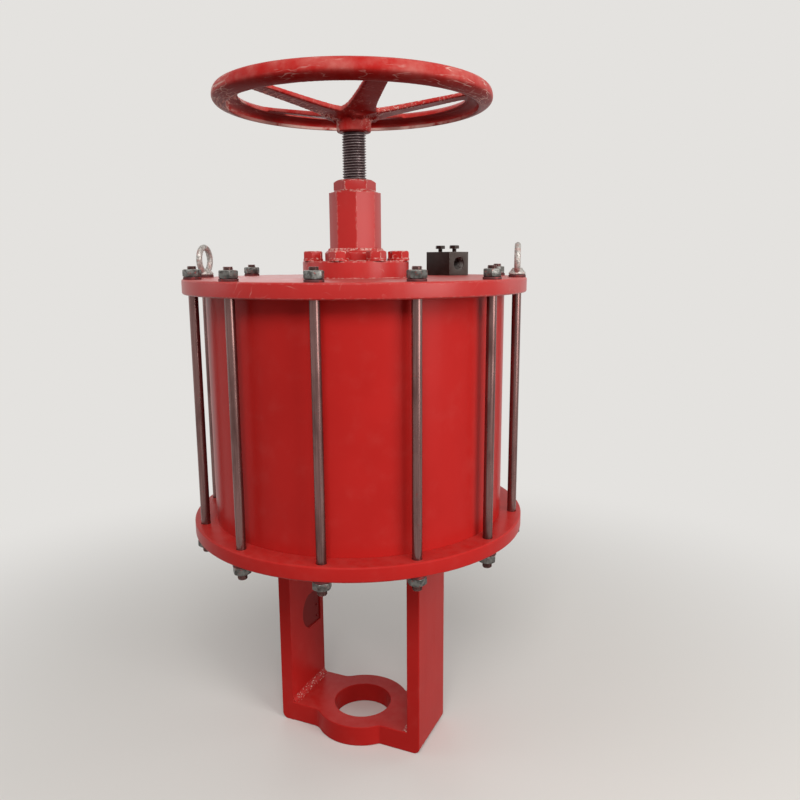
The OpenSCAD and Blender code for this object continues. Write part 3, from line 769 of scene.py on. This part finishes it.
def greased_thread():
    """Cut steel thread with old grease in its roots and bright crests."""
    sizes = bpy.context.scene.actuator_sizes
    tree, coords, hues = new_finish("greased_thread")
    crest = width_of("drive_screw") / 2
    root = crest - 0.5 * sizes.screw_pitch
    clean = patches(tree, coords, 0.014, 0.4, 0.6, detail=5.0)
    part_clean = gloss(tree, clean, 0.6, 1.0)
    bright = add(
        tree, "ShaderNodeMapRange",
        {"Value": from_axis(tree, coords), "From Min": root, "From Max": crest, "To Max": part_clean},
        **EASED,
    )
    marks = patches(tree, coords, 1.1 * MM, 0.3, 0.7, shift=4.4)
    layers = [(bright, hues.thread)]
    end_in(
        tree, hues.thread_dark, layers, gloss(tree, clean, 0.5, 0.34), [(marks, 0.04 * MM)], metallic=0.75
    )


def turned_iron():
    """Grey cast iron, machined: fine tool rings and a dull oily look."""
    tree, coords, hues = new_finish("turned_iron")
    grain = patches(tree, coords, 3 * MM, 0.35, 0.7, detail=5.0)
    rings = patches(tree, coords, 0.8 * MM, 0.3, 0.7, stretch=(20, 20, 1), shift=3.8)
    layers = [(grain, hues.nut_dark)]
    end_in(tree, hues.iron, layers, gloss(tree, grain, 0.36, 0.55), [(rings, 0.03 * MM)], metallic=0.7)


class ACTUATOR_OT_finishes(bpy.types.Operator):
    """Makes the materials that the pieces share"""

    bl_idname = "actuator.finishes"
    bl_label = "Finishes"

    def execute(self, context):
        sizes = context.scene.actuator_sizes
        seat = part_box("yoke_leg_left")[1].x + sizes.seat_level
        rim_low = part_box("handwheel")[0].z + sizes.rim_rise - sizes.rim_height / 2
        # Each scuff is its direction in degrees, its reach as an angle, how strong it is and its cover; its
        # white marks are partly painted glare
        plate_scuffs_and_glare = ((-156, 0.5, 1.0, 0.0),)
        wheel_scuffs_and_glare = (
            (-155, 0.6, 1.0, 0.0), (-141, 0.5, 1.0, 0.26), (-10, 0.6, 0.8, 0.0), (-2, 0.45, 0.8, 0.1),
            (-60, 1.2, 0.3, 0.0),
        )
        enamel("sprayed_enamel")
        enamel("yoke_enamel", seat=seat, shine=0.07)
        enamel("plate_enamel", chips=0.75, dust=0.5, scuff_and_glare_sides=plate_scuffs_and_glare, shine=0.35)
        enamel("knocked_enamel", chips=1.0, dust=0.45, dirt_and_shade=0.45, blunt=0.004, shine=0.35)
        enamel(
            "cast_wheel_enamel", chalk=0.75, casting=0.12 * MM, scuff_and_glare_sides=wheel_scuffs_and_glare, sags=0.3, under=0.75,
            lip=rim_low, shine=0.05,
        )
        for finish in (
            weld_enamel, drawn_steel, plated_nut_steel, maroon_primer, galvanised_forging, black_iron,
            greased_thread, turned_iron,
        ):
            finish()
        return {"FINISHED"}


# ---------------------------------------------------------------- cylinder


class ACTUATOR_OT_cylinder(bpy.types.Operator):
    """Paints the barrel and the two end plates, with broken edges"""

    bl_idname = "actuator.cylinder"
    bl_label = "Barrel and plates"

    def execute(self, context):
        edge = context.scene.actuator_sizes.plate_edge
        finish_nodes("painted_", "sprayed_enamel", ["bottom_plate"], edge, 3, FLAT)
        finish_nodes("painted_", "plate_enamel", ["top_plate"], edge, 3, FLAT)
        # The barrel's ends stay square, because they are seated in the plates and painted over
        finish_piece("painted_barrel", node_mesh("cylinder_barrel"), "sprayed_enamel", ["cylinder_barrel"])
        return {"FINISHED"}


class ACTUATOR_OT_tie_rods(bpy.types.Operator):
    """Makes each tie rod: a drawn bar with a helical thread on both ends"""

    bl_idname = "actuator.tie_rods"
    bl_label = "Tie rods"

    def execute(self, context):
        sizes = context.scene.actuator_sizes
        thread = sizes.rod_thread
        shoulder = 0.8 * MM
        for node in TIE_RODS:
            x, y, low, high = middle(node)
            radius = width_of(node) / 2
            bm = bmesh.new()
            for start, end in ((low, low + thread), (high - thread, high)):
                part = bmesh.new()
                grow_thread(part, 2 * radius, sizes.rod_pitch, start, end, 28)
                add_mesh(bm, part)
            add_pole(bm, [
                (0, low + thread - shoulder), (radius - shoulder, low + thread - shoulder),
                (radius, low + thread), (radius, high - thread),
                (radius - shoulder, high - thread + shoulder), (0, high - thread + shoulder),
            ], 40)
            lift(bm, Matrix.Translation((x, y, 0)))
            bmesh.ops.recalc_face_normals(bm, faces=bm.faces)
            finish_piece("threaded_" + node, bm, "drawn_steel", [node], crease=THREAD)
        return {"FINISHED"}


class ACTUATOR_OT_rod_fasteners(bpy.types.Operator):
    """Finishes the nuts and washers on the tie rods"""

    bl_idname = "actuator.rod_fasteners"
    bl_label = "Tie-rod nuts and washers"

    def execute(self, context):
        edge = context.scene.actuator_sizes.fastener_edge
        finish_nodes("finished_", "dulled_zinc_plate", ["top_nuts", "bottom_nuts"], edge)
        finish_nodes("finished_", "maroon_primer", ["top_washers", "bottom_washers"], edge)
        return {"FINISHED"}


class ACTUATOR_OT_eye_nuts(bpy.types.Operator):
    """Forges the two eye nuts: a round base that flows into a smooth ring"""

    bl_idname = "actuator.eye_nuts"
    bl_label = "Eye nuts"

    def execute(self, context):
        sizes = context.scene.actuator_sizes
        wire = sizes.eye_wire / 2
        for node in ("eye_nut_right", "eye_nut_left"):
            x, y, low, high = middle(node)
            # The base's radius, and the ring's outer radius
            base = 15 * MM
            ring = 28 * MM
            bm = bmesh.new()
            pole(bm, [
                (0, low), (base - 1.5 * MM, low), (base, low + 1.5 * MM), (base - 0.5 * MM, low + 4 * MM),
                (base - 4 * MM, low + 8 * MM), (wire + 3 * MM, low + 12 * MM), (0, low + 12 * MM),
            ], 40)
            add_mesh(bm, eye_ring(ring - wire, wire, high - ring))
            lift(bm, Matrix.Translation((x, y, 0)) @ Matrix.Rotation(ring_direction(node), 4, "Z"))
            bmesh.ops.recalc_face_normals(bm, faces=bm.faces)
            fused = blend_together(bm, sizes.eye_voxel, 6)
            finish_piece("forged_" + node, fused, "galvanised_forging", [node])
        return {"FINISHED"}


def eye_ring(radius, wire, height):
    """A closed ring of round wire that stands in the XZ plane, with its middle at a height."""
    bm = bmesh.new()
    verts = bmesh.ops.create_circle(
        bm, cap_ends=False, segments=20, radius=wire, matrix=Matrix.Translation((radius, 0, 0))
    )["verts"]
    spin_round(bm, verts + bm.edges[:], 48, axis=(0, 1, 0))
    lift(bm, Matrix.Translation((0, 0, height)))
    return bm


def ring_direction(node):
    """The direction in plan that an eye nut's ring runs in, from the points at its middle height."""
    low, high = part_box(node)
    centre = (low + high) / 2
    farthest = max(
        (vert.co - centre for vert in frame["nodes"][node].data.vertices if vert.co.z > centre.z),
        key=lambda reach: reach.x ** 2 + reach.y ** 2,
    )
    return math.atan2(farthest.y, farthest.x)


# ---------------------------------------------------------------- yoke


class ACTUATOR_OT_yoke(bpy.types.Operator):
    """Shapes the yoke: two flat legs and a foot with a round middle"""

    bl_idname = "actuator.yoke"
    bl_label = "Yoke"

    def execute(self, context):
        sizes = context.scene.actuator_sizes
        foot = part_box("yoke_foot")[1]

        def free(edge):
            """Whether an edge is clear of the joints that paint has filled."""
            at_joint = all(abs(abs(vert.co.x) - foot.x) < 0.1 * MM for vert in edge.verts)
            return not (at_joint and max(vert.co.z for vert in edge.verts) < foot.z + 0.1 * MM)

        for node in ("yoke_leg_left", "yoke_leg_right"):
            bm = node_mesh(node)
            bmesh.ops.bisect_plane(
                bm, geom=bm.verts[:] + bm.edges[:] + bm.faces[:], dist=0.001 * MM,
                plane_co=(0, 0, foot.z), plane_no=UP,
            )
            break_edges(bm, sizes.bar_edge, chosen=free)
            finish_piece("painted_" + node, bm, "yoke_enamel", [node], crease=FLAT)
        bm = foot_mesh(sizes.foot_fillet_left, sizes.foot_fillet_right)
        break_edges(bm, sizes.bar_edge, sharper_than=60, chosen=free)
        finish_piece("painted_yoke_foot", bm, "yoke_enamel", ["yoke_foot"], crease=FLAT)
        return {"FINISHED"}


def foot_quarter(half_length, half_width, round_r, fillet):
    """The outline of a quarter of the foot, from its end to its middle line."""
    # The fillet touches the bar's edge and the round middle, and sweeps the same angle as the middle
    fillet_y = half_width + fillet
    fillet_x = math.sqrt((round_r + fillet) ** 2 - fillet_y ** 2)
    meet = math.atan2(fillet_y, fillet_x)
    sweep = math.pi / 2 - meet
    quarter = [(half_length, half_width)]
    for step in range(9):
        turn = -math.pi / 2 - sweep * step / 8
        quarter.append((fillet_x + fillet * math.cos(turn), fillet_y + fillet * math.sin(turn)))
    for step in range(1, 25):
        turn = meet + sweep * step / 24
        quarter.append((round_r * math.cos(turn), round_r * math.sin(turn)))
    return quarter


def foot_mesh(left_fillet, right_fillet):
    """The foot: a bar with a round middle, filleted where the two meet, and a bore."""
    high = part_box("yoke_foot")[1]
    half_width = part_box("yoke_leg_left")[1].y
    bore_r = mount_of("yoke_bore")[1]
    right = foot_quarter(high.x, half_width, high.y, right_fillet)
    left = foot_quarter(high.x, half_width, high.y, left_fillet)
    half = right + [(-x, y) for x, y in reversed(left[:-1])]
    outline = half + [(x, -y) for x, y in reversed(half)]
    bm = bmesh.new()
    verts = [bm.verts.new((x, y, 0)) for x, y in outline]
    edges = [bm.edges.new(pair) for pair in zip(verts, verts[1:] + verts[:1])]
    hole = bmesh.ops.create_circle(bm, cap_ends=False, segments=96, radius=bore_r)["verts"]
    edges += list({edge for vert in hole for edge in vert.link_edges})
    bmesh.ops.triangle_fill(bm, use_beauty=True, use_dissolve=True, edges=edges)
    grown = bmesh.ops.extrude_face_region(bm, geom=bm.faces[:])
    top = [item for item in grown["geom"] if isinstance(item, bmesh.types.BMVert)]
    bmesh.ops.translate(bm, vec=(0, 0, high.z), verts=top)
    fill_open_ends(bm)
    return bm


class ACTUATOR_OT_welds(bpy.types.Operator):
    """Lays the fillet welds of the yoke and of the octagonal sleeve"""

    bl_idname = "actuator.welds"
    bl_label = "Welds"

    def execute(self, context):
        sizes = context.scene.actuator_sizes
        foot_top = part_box("yoke_foot")[1].z
        inset = sizes.bar_edge
        for name, side in (("left", -1), ("right", 1)):
            low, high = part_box("yoke_leg_" + name)
            inner, outer = (high.x, low.x) if side < 0 else (low.x, high.x)
            inward = Vector((-side, 0, 0))
            start, end = Vector((inner, low.y + inset, foot_top)), Vector((inner, high.y - inset, foot_top))
            lay_welds(
                "weld_foot_" + name, "enamelled_weld", [(start, end, inward)], UP, sizes.weld_leg,
                3 + side, hollow=True,
            )
            runs = [
                (Vector((*start, high.z)), Vector((*end, high.z)), out) for start, end, out in (
                    ((inner, low.y), (inner, high.y), inward),
                    ((outer, low.y), (outer, high.y), -inward),
                    ((low.x, low.y), (high.x, low.y), Vector((0, -1, 0))),
                    ((low.x, high.y), (high.x, high.y), Vector((0, 1, 0))),
                )
            ]
            lay_welds("weld_plate_" + name, "sprayed_enamel", runs, -UP, sizes.plate_weld_leg, 20 + side)
        corners = sleeve_corners()
        runs = []
        for start, end in zip(corners, corners[1:] + corners[:1]):
            out = ((start + end) / 2).normalized()
            out.z = 0
            runs.append((start, end, out.normalized()))
        lay_welds("weld_sleeve", "knocked_enamel", runs, UP, sizes.sleeve_weld_leg, 40)
        return {"FINISHED"}


def sleeve_corners():
    """The octagonal sleeve's bottom corners, in order."""
    mesh = frame["nodes"]["screw_sleeve"].data
    low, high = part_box("screw_sleeve")
    reach = max(math.hypot(vert.co.x, vert.co.y) for vert in mesh.vertices)
    found = {}
    for vert in mesh.vertices:
        if vert.co.z < low.z + 1 * MM and math.hypot(vert.co.x, vert.co.y) > reach - 0.5 * MM:
            found[round(math.degrees(math.atan2(vert.co.y, vert.co.x)))] = vert.co.copy()
    return [found[angle] for angle in sorted(found)]


# ---------------------------------------------------------------- piston rod and gland


class ACTUATOR_OT_piston_rod(bpy.types.Operator):
    """Finishes the piston rod, its gland and the gland's bolts"""

    bl_idname = "actuator.piston_rod"
    bl_label = "Piston rod and gland"

    def execute(self, context):
        sizes = context.scene.actuator_sizes
        low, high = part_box("piston_rod")
        thread_r, thread = mount_of("rod_end")[1:]
        shoulder = low.z + thread
        neck = thread_r - 2.6 * MM
        radius = width_of("piston_rod") / 2
        bm = bmesh.new()
        grow_thread(bm, 2 * thread_r, sizes.rod_end_pitch, low.z, shoulder, 64)
        add_pole(bm, [
            (0, shoulder - 2 * MM), (neck, shoulder - 2 * MM), (neck, shoulder + 3 * MM),
            (radius - 2 * MM, shoulder + 3 * MM), (radius, shoulder + 5 * MM), (radius, high.z), (0, high.z),
        ], 72)
        bmesh.ops.recalc_face_normals(bm, faces=bm.faces)
        finish_piece("threaded_piston_rod", bm, "drawn_steel", ["piston_rod"], crease=THREAD)
        finish_nodes("finished_", "sprayed_enamel", ["rod_gland"], sizes.fastener_edge)
        finish_nodes("finished_", "dulled_zinc_plate", ["gland_bolts"], sizes.fastener_edge)
        return {"FINISHED"}


# ---------------------------------------------------------------- screw drive


class ACTUATOR_OT_screw_drive(bpy.types.Operator):
    """Finishes the flange, sleeve, bolts, lock nut and drive screw"""

    bl_idname = "actuator.screw_drive"
    bl_label = "Screw drive"

    def execute(self, context):
        sizes = context.scene.actuator_sizes
        for node, edge in (
            ("screw_flange", sizes.fitting_edge),
            ("screw_sleeve", sizes.fitting_edge),
            ("lock_nut", sizes.fastener_edge * 2),
            ("flange_bolts", sizes.fastener_edge * 1.5),
            ("flange_washers", sizes.fastener_edge * 2),
        ):
            bm = node_mesh(node)
            break_edges(bm, edge, chosen=off_the_seat(bm))
            if node == "lock_nut":
                add_mesh(bm, paint_bridge(node))
            finish_piece("painted_" + node, bm, "knocked_enamel", [node], crease=FLAT)
        low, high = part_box("drive_screw")
        hub_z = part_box("handwheel")[0].z
        radius = width_of("drive_screw") / 2
        # Below the thread is a plain tip, and above it a spindle that the wheel is keyed to
        tip_r, tip = 15 * MM, 12 * MM
        spindle = radius - 4.3 * MM
        bm = bmesh.new()
        grow_thread(bm, 2 * radius, sizes.screw_pitch, low.z + tip, hub_z, 72)
        tip_top = low.z + tip + 2 * MM
        add_pole(bm, [(0, low.z), (tip_r, low.z), (tip_r, tip_top), (0, tip_top)], 48)
        add_pole(bm, [
            (0, hub_z - 3 * MM), (spindle, hub_z - 3 * MM), (spindle, high.z - 1.5 * MM),
            (spindle - 1.5 * MM, high.z), (0, high.z),
        ], 48)
        bmesh.ops.recalc_face_normals(bm, faces=bm.faces)
        finish_piece(
            "threaded_drive_screw", bm, "greased_thread", ["drive_screw"], "screw_and_wheel", THREAD
        )
        return {"FINISHED"}


def paint_bridge(node):
    """The ring of paint that fills the step under a nut's chamfered corners."""
    low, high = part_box(node)
    outer = (high.y - low.y) / 2 + 1 * MM
    inner = outer * 0.7
    bm = bmesh.new()
    top = low.z + 3 * MM
    pole(bm, [
        (inner, low.z), (outer, low.z), (outer - 0.8 * MM, low.z + 1.6 * MM), (outer - 2.5 * MM, top),
        (inner, top),
    ], 48, close=True)
    bmesh.ops.recalc_face_normals(bm, faces=bm.faces)
    return bm


class ACTUATOR_OT_handwheel(bpy.types.Operator):
    """Casts the handwheel: rim, dished spokes and hub, blended into one skin"""

    bl_idname = "actuator.handwheel"
    bl_label = "Handwheel"

    def execute(self, context):
        sizes = context.scene.actuator_sizes
        hub_z, hub_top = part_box("handwheel")[0].z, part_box("wheel_keeper")[0].z
        rim_r = width_of("handwheel") / 2 - sizes.rim_width / 2
        rim_z = hub_z + sizes.rim_rise
        bm = bmesh.new()
        lean = Matrix.Rotation(sizes.rim_lean, 2)
        section = [lean @ point for point in rim_section(sizes)]
        pole(bm, [(rim_r + point.x, rim_z + point.y) for point in section], 200, close=True)
        for spoke in range(sizes.spoke_count):
            since = len(bm.verts)
            spoke_arm(bm, rim_r - sizes.rim_width / 2, rim_z, sizes)
            turn = sizes.spoke_turn + math.tau * spoke / sizes.spoke_count
            lift(bm, Matrix.Rotation(turn, 4, "Z"), since)
        hub_r = sizes.hub_width / 2
        add_pole(bm, [
            (0, hub_z), (hub_r - 1.5 * MM, hub_z), (hub_r, hub_z + 1.5 * MM), (hub_r, hub_top - 4 * MM),
            (hub_r - 4 * MM, hub_top), (0, hub_top),
        ], 72)
        bmesh.ops.recalc_face_normals(bm, faces=bm.faces)
        fused = blend_together(bm, sizes.casting_voxel, 7)
        finish_piece("cast_handwheel", fused, "cast_wheel_enamel", ["handwheel"], "screw_and_wheel", 180)
        return {"FINISHED"}


def rim_section(sizes):
    """The rim's section, as (outwards, upwards) points: an oval with a hollow under its inner side."""
    half_w, half_h, power = sizes.rim_width / 2, sizes.rim_height / 2, sizes.rim_squareness
    hollow_r = sizes.rim_hollow * half_h
    # The hollow's middle, which leaves a lip along the rim's inner side and another below
    hollow = Vector((-sizes.hollow_in * sizes.rim_width, -sizes.hollow_down * sizes.rim_height))
    towards = math.degrees(math.atan2(hollow.y, hollow.x)) % 360
    before, after = [], []
    for degrees in range(0, 360, 5):
        out, up = math.cos(math.radians(degrees)), math.sin(math.radians(degrees))
        point = Vector((
            math.copysign(abs(out) ** (2 / power), out) * half_w,
            math.copysign(abs(up) ** (2 / power), up) * half_h,
        ))
        if (point - hollow).length > hollow_r:
            (before if degrees < towards else after).append(point)
    # The hollow's own wall, from the inner lip round to the lower one, as far as it lies in the oval
    scoop = []
    for degrees in range(150, -60, -7):
        turned = Vector((math.cos(math.radians(degrees)), math.sin(math.radians(degrees))))
        point = hollow + turned * hollow_r
        if abs(point.x / half_w) ** power + abs(point.y / half_h) ** power < 0.97:
            scoop.append(point)
    return before + scoop + after


def spoke_arm(bm, inner_r, rim_z, sizes):
    """One dished spoke along +X, flared where it leaves the hub and where it meets the rim."""
    end = inner_r + sizes.rim_width / 5
    # What each flare adds to the width, and how far it takes to fade
    hub_flare, hub_fade = 30 * MM, 15 * MM
    rim_flare, rim_fade = 14 * MM, 7 * MM
    flare_r = sizes.hub_width / 2 + 4 * MM
    grid = bmesh.ops.create_grid(bm, x_segments=60, y_segments=6, size=1)["verts"]
    for vert in grid:
        reach = (vert.co.x + 1) / 2 * end
        share = reach / end
        width = sizes.spoke_hub_width + (sizes.spoke_rim_width - sizes.spoke_hub_width) * share
        width += hub_flare * math.exp(-max(reach - flare_r, 0) / hub_fade)
        width += rim_flare * math.exp(-max(inner_r - reach, 0) / rim_fade)
        height = rim_z + sizes.spoke_lift + (reach - inner_r) * math.tan(sizes.spoke_slope)
        vert.co = (reach, vert.co.y * width / 2, height)
    faces = list({face for vert in grid for face in vert.link_faces})
    grown = bmesh.ops.extrude_face_region(bm, geom=faces)
    for item in grown["geom"]:
        if isinstance(item, bmesh.types.BMVert):
            share = item.co.x / end
            item.co.z += sizes.spoke_hub_depth + (sizes.spoke_rim_depth - sizes.spoke_hub_depth) * share


# ---------------------------------------------------------------- air block


class ACTUATOR_OT_air_block(bpy.types.Operator):
    """Finishes the air block, its screws and the thread in its port"""

    bl_idname = "actuator.air_block"
    bl_label = "Air block"

    def execute(self, context):
        sizes = context.scene.actuator_sizes
        finish_nodes("finished_", "oxidised_iron", ["air_block", "air_block_screws"], sizes.fastener_edge)
        mount, bore, depth = mount_of("air_port")
        pitch = sizes.port_pitch
        turns = int((depth - 4 * MM) / pitch)
        end = turns * pitch / 2
        # The ring's outer wall, and the grooves and the teeth of the thread inside it
        wall, groove, tooth = bore + 0.2 * MM, bore - 0.05 * MM, bore - 1.1 * MM
        profile = [(wall, -end)]
        for turn in range(turns):
            base = (turn - turns / 2) * pitch
            profile += [(groove, base), (tooth, base + pitch / 2)]
        profile += [(groove, end), (wall, end)]
        bm = bmesh.new()
        pole(bm, profile, 48, close=True)
        bmesh.ops.recalc_face_normals(bm, faces=bm.faces)
        turned = Vector(mount["axis"]).to_track_quat("Z", "Y").to_matrix().to_4x4()
        lift(bm, Matrix.Translation(mount["pos_m"]) @ turned)
        finish_piece("port_thread", bm, "oxidised_iron", crease=THREAD)
        return {"FINISHED"}


class ACTUATOR_OT_inner_parts(bpy.types.Operator):
    """Gives the parts inside the barrel and the hub their finish"""

    bl_idname = "actuator.inner_parts"
    bl_label = "Inner parts"

    def execute(self, context):
        for material, nodes in (
            ("turned_iron", ("piston", "thrust_pad")),
            ("dulled_zinc_plate", ("piston_nut", "wheel_keeper", "keeper_screw")),
            ("drawn_steel", ("wheel_key",)),
        ):
            for node in nodes:
                mesh = frame["nodes"][node].data
                mesh.materials.clear()
                mesh.materials.append(bpy.data.materials[material])
        return {"FINISHED"}


# ---------------------------------------------------------------- stage


def pale_rays(tree):
    """1 for rays from the camera, off gloss and through glass, which all meet the pale surroundings."""
    seen = add(tree, "ShaderNodeLightPath")
    kinds = ("Is Camera Ray", "Is Glossy Ray", "Is Transmission Ray")
    return greatest(tree, [seen.outputs[kind] for kind in kinds])


def area_light(name, place, aim, width, height, power, tint):
    """A soft rectangular light that points at a place."""
    data = bpy.data.lights.new(name, "AREA")
    data.shape = "RECTANGLE"
    data.size = width
    data.size_y = height
    data.energy = power
    data.color = tint
    lamp = put_in_scene(name, data)
    lamp.location = place
    lamp.rotation_euler = (Vector(aim) - Vector(place)).to_track_quat("-Z", "Y").to_euler()


class ACTUATOR_OT_stage(bpy.types.Operator):
    """Sets the pale floor, the soft lights and the camera"""

    bl_idname = "actuator.stage"
    bl_label = "Floor, lights and camera"

    def execute(self, context):
        stage = context.scene.actuator_stage
        self.floor(stage)
        self.sky(stage)
        warm, cool = (1.0, 0.98, 0.95), (0.95, 0.98, 1.0)
        aim = (0, 0, 0.65)
        area_light("key", (2.6, -0.8, 1.3), aim, 1.4, 2.0, stage.key_power, warm)
        area_light("front", (1.1, -2.4, 2.7), aim, 1.6, 1.2, stage.front_power, warm)
        area_light("left", (-2.6, -1.2, 1.6), aim, 1.2, 2.0, stage.left_power, cool)
        area_light("top", (0.2, -0.3, 3.2), (0, 0, 0.9), 2.4, 2.4, stage.top_power, warm)
        area_light("back_left", (-1.6, 2.4, 1.7), aim, 1.0, 1.8, stage.back_power, cool)
        area_light("back_right", (2.0, 2.2, 1.5), aim, 1.0, 1.8, stage.back_power, warm)
        self.camera(stage)
        context.scene.view_settings.view_transform = "Standard"
        return {"FINISHED"}

    def floor(self, stage):
        """A wide disc that fades into the surroundings, and keeps the object's shadow."""
        bm = bmesh.new()
        # It lies a hair under the foot, and fades out between two distances from its middle
        radius, sunk, fade_from, fade_to = 14, 0.2 * MM, 0.45, 1.7
        bmesh.ops.create_circle(bm, cap_ends=True, cap_tris=False, segments=96, radius=radius)
        bmesh.ops.translate(bm, vec=(0, 0, -sunk), verts=bm.verts)
        floor = as_object("floor", bm)
        tree, coords, _ = new_finish("pale_floor")
        pale = pale_rays(tree)
        tone = painted_over(tree, stage.floor_bounce, [(pale, stage.floor)])
        ground = add(tree, "ShaderNodeBsdfPrincipled", {"Base Color": tone, "Roughness": 0.75})
        distance = add(tree, "ShaderNodeVectorMath", {0: coords}, operation="LENGTH")
        far = add(
            tree, "ShaderNodeMapRange",
            {"Value": distance, "From Min": fade_from, "From Max": fade_to, "To Max": pale}, **EASED,
        )
        glow = add(tree, "ShaderNodeEmission", {"Color": stage.floor, "Strength": 1.0})
        surface = add(tree, "ShaderNodeMixShader", {0: far, 1: ground, 2: glow})
        add(tree, "ShaderNodeOutputMaterial", {"Surface": surface})
        floor.data.materials.append(bpy.data.materials["pale_floor"])

    def sky(self, stage):
        """Pale surroundings where they are seen or mirrored, and a lower even light elsewhere."""
        world = bpy.data.worlds.new("pale_surroundings")
        bpy.context.scene.world = world
        world.use_nodes = True
        tree = world.node_tree
        tree.nodes.clear()
        strength = add(
            tree, "ShaderNodeMapRange", {"Value": pale_rays(tree), "To Min": stage.sky, "To Max": 1.0}
        )
        light = add(tree, "ShaderNodeBackground", {"Color": stage.floor, "Strength": strength})
        add(tree, "ShaderNodeOutputWorld", {"Surface": light})

    def camera(self, stage):
        """The camera, a little above the cylinder's top."""
        data = bpy.data.cameras.new("camera")
        data.lens = stage.lens
        data.sensor_width = 36
        camera = put_in_scene("camera", data)
        camera.location = (
            stage.camera_distance * math.cos(stage.camera_bearing),
            stage.camera_distance * math.sin(stage.camera_bearing),
            stage.camera_height,
        )
        ahead = Vector((
            math.cos(stage.camera_dip) * math.cos(stage.camera_aim),
            math.cos(stage.camera_dip) * math.sin(stage.camera_aim),
            -math.sin(stage.camera_dip),
        ))
        level = ahead.to_track_quat("-Z", "Y").to_matrix()
        camera.rotation_euler = (level @ Matrix.Rotation(stage.camera_roll, 3, "Z")).to_euler()
        bpy.context.scene.camera = camera


# ---------------------------------------------------------------- the add-on

OPERATORS = (
    ACTUATOR_OT_finishes,
    ACTUATOR_OT_cylinder,
    ACTUATOR_OT_tie_rods,
    ACTUATOR_OT_rod_fasteners,
    ACTUATOR_OT_eye_nuts,
    ACTUATOR_OT_yoke,
    ACTUATOR_OT_welds,
    ACTUATOR_OT_piston_rod,
    ACTUATOR_OT_screw_drive,
    ACTUATOR_OT_handwheel,
    ACTUATOR_OT_air_block,
    ACTUATOR_OT_inner_parts,
    ACTUATOR_OT_stage,
)


class ACTUATOR_PT_panel(bpy.types.Panel):
    """Lists the steps that finish the actuator"""

    bl_label = "Actuator"
    bl_idname = "ACTUATOR_PT_panel"
    bl_space_type = "VIEW_3D"
    bl_region_type = "UI"
    bl_category = "Actuator"

    def draw(self, context):
        for operator in OPERATORS:
            self.layout.operator(operator.bl_idname)


CLASSES = (ActuatorSizes, ActuatorColours, ActuatorStage, *OPERATORS, ACTUATOR_PT_panel)


def register():
    for item in CLASSES:
        bpy.utils.register_class(item)
    bpy.types.Scene.actuator_sizes = PointerProperty(type=ActuatorSizes)
    bpy.types.Scene.actuator_colours = PointerProperty(type=ActuatorColours)
    bpy.types.Scene.actuator_stage = PointerProperty(type=ActuatorStage)


def unregister():
    del bpy.types.Scene.actuator_sizes
    del bpy.types.Scene.actuator_colours
    del bpy.types.Scene.actuator_stage
    for item in reversed(CLASSES):
        bpy.utils.unregister_class(item)


def main():
    register()
    for operator in OPERATORS:
        group, name = operator.bl_idname.split(".")
        getattr(getattr(bpy.ops, group), name)()


if __name__ == "__main__":
    main()
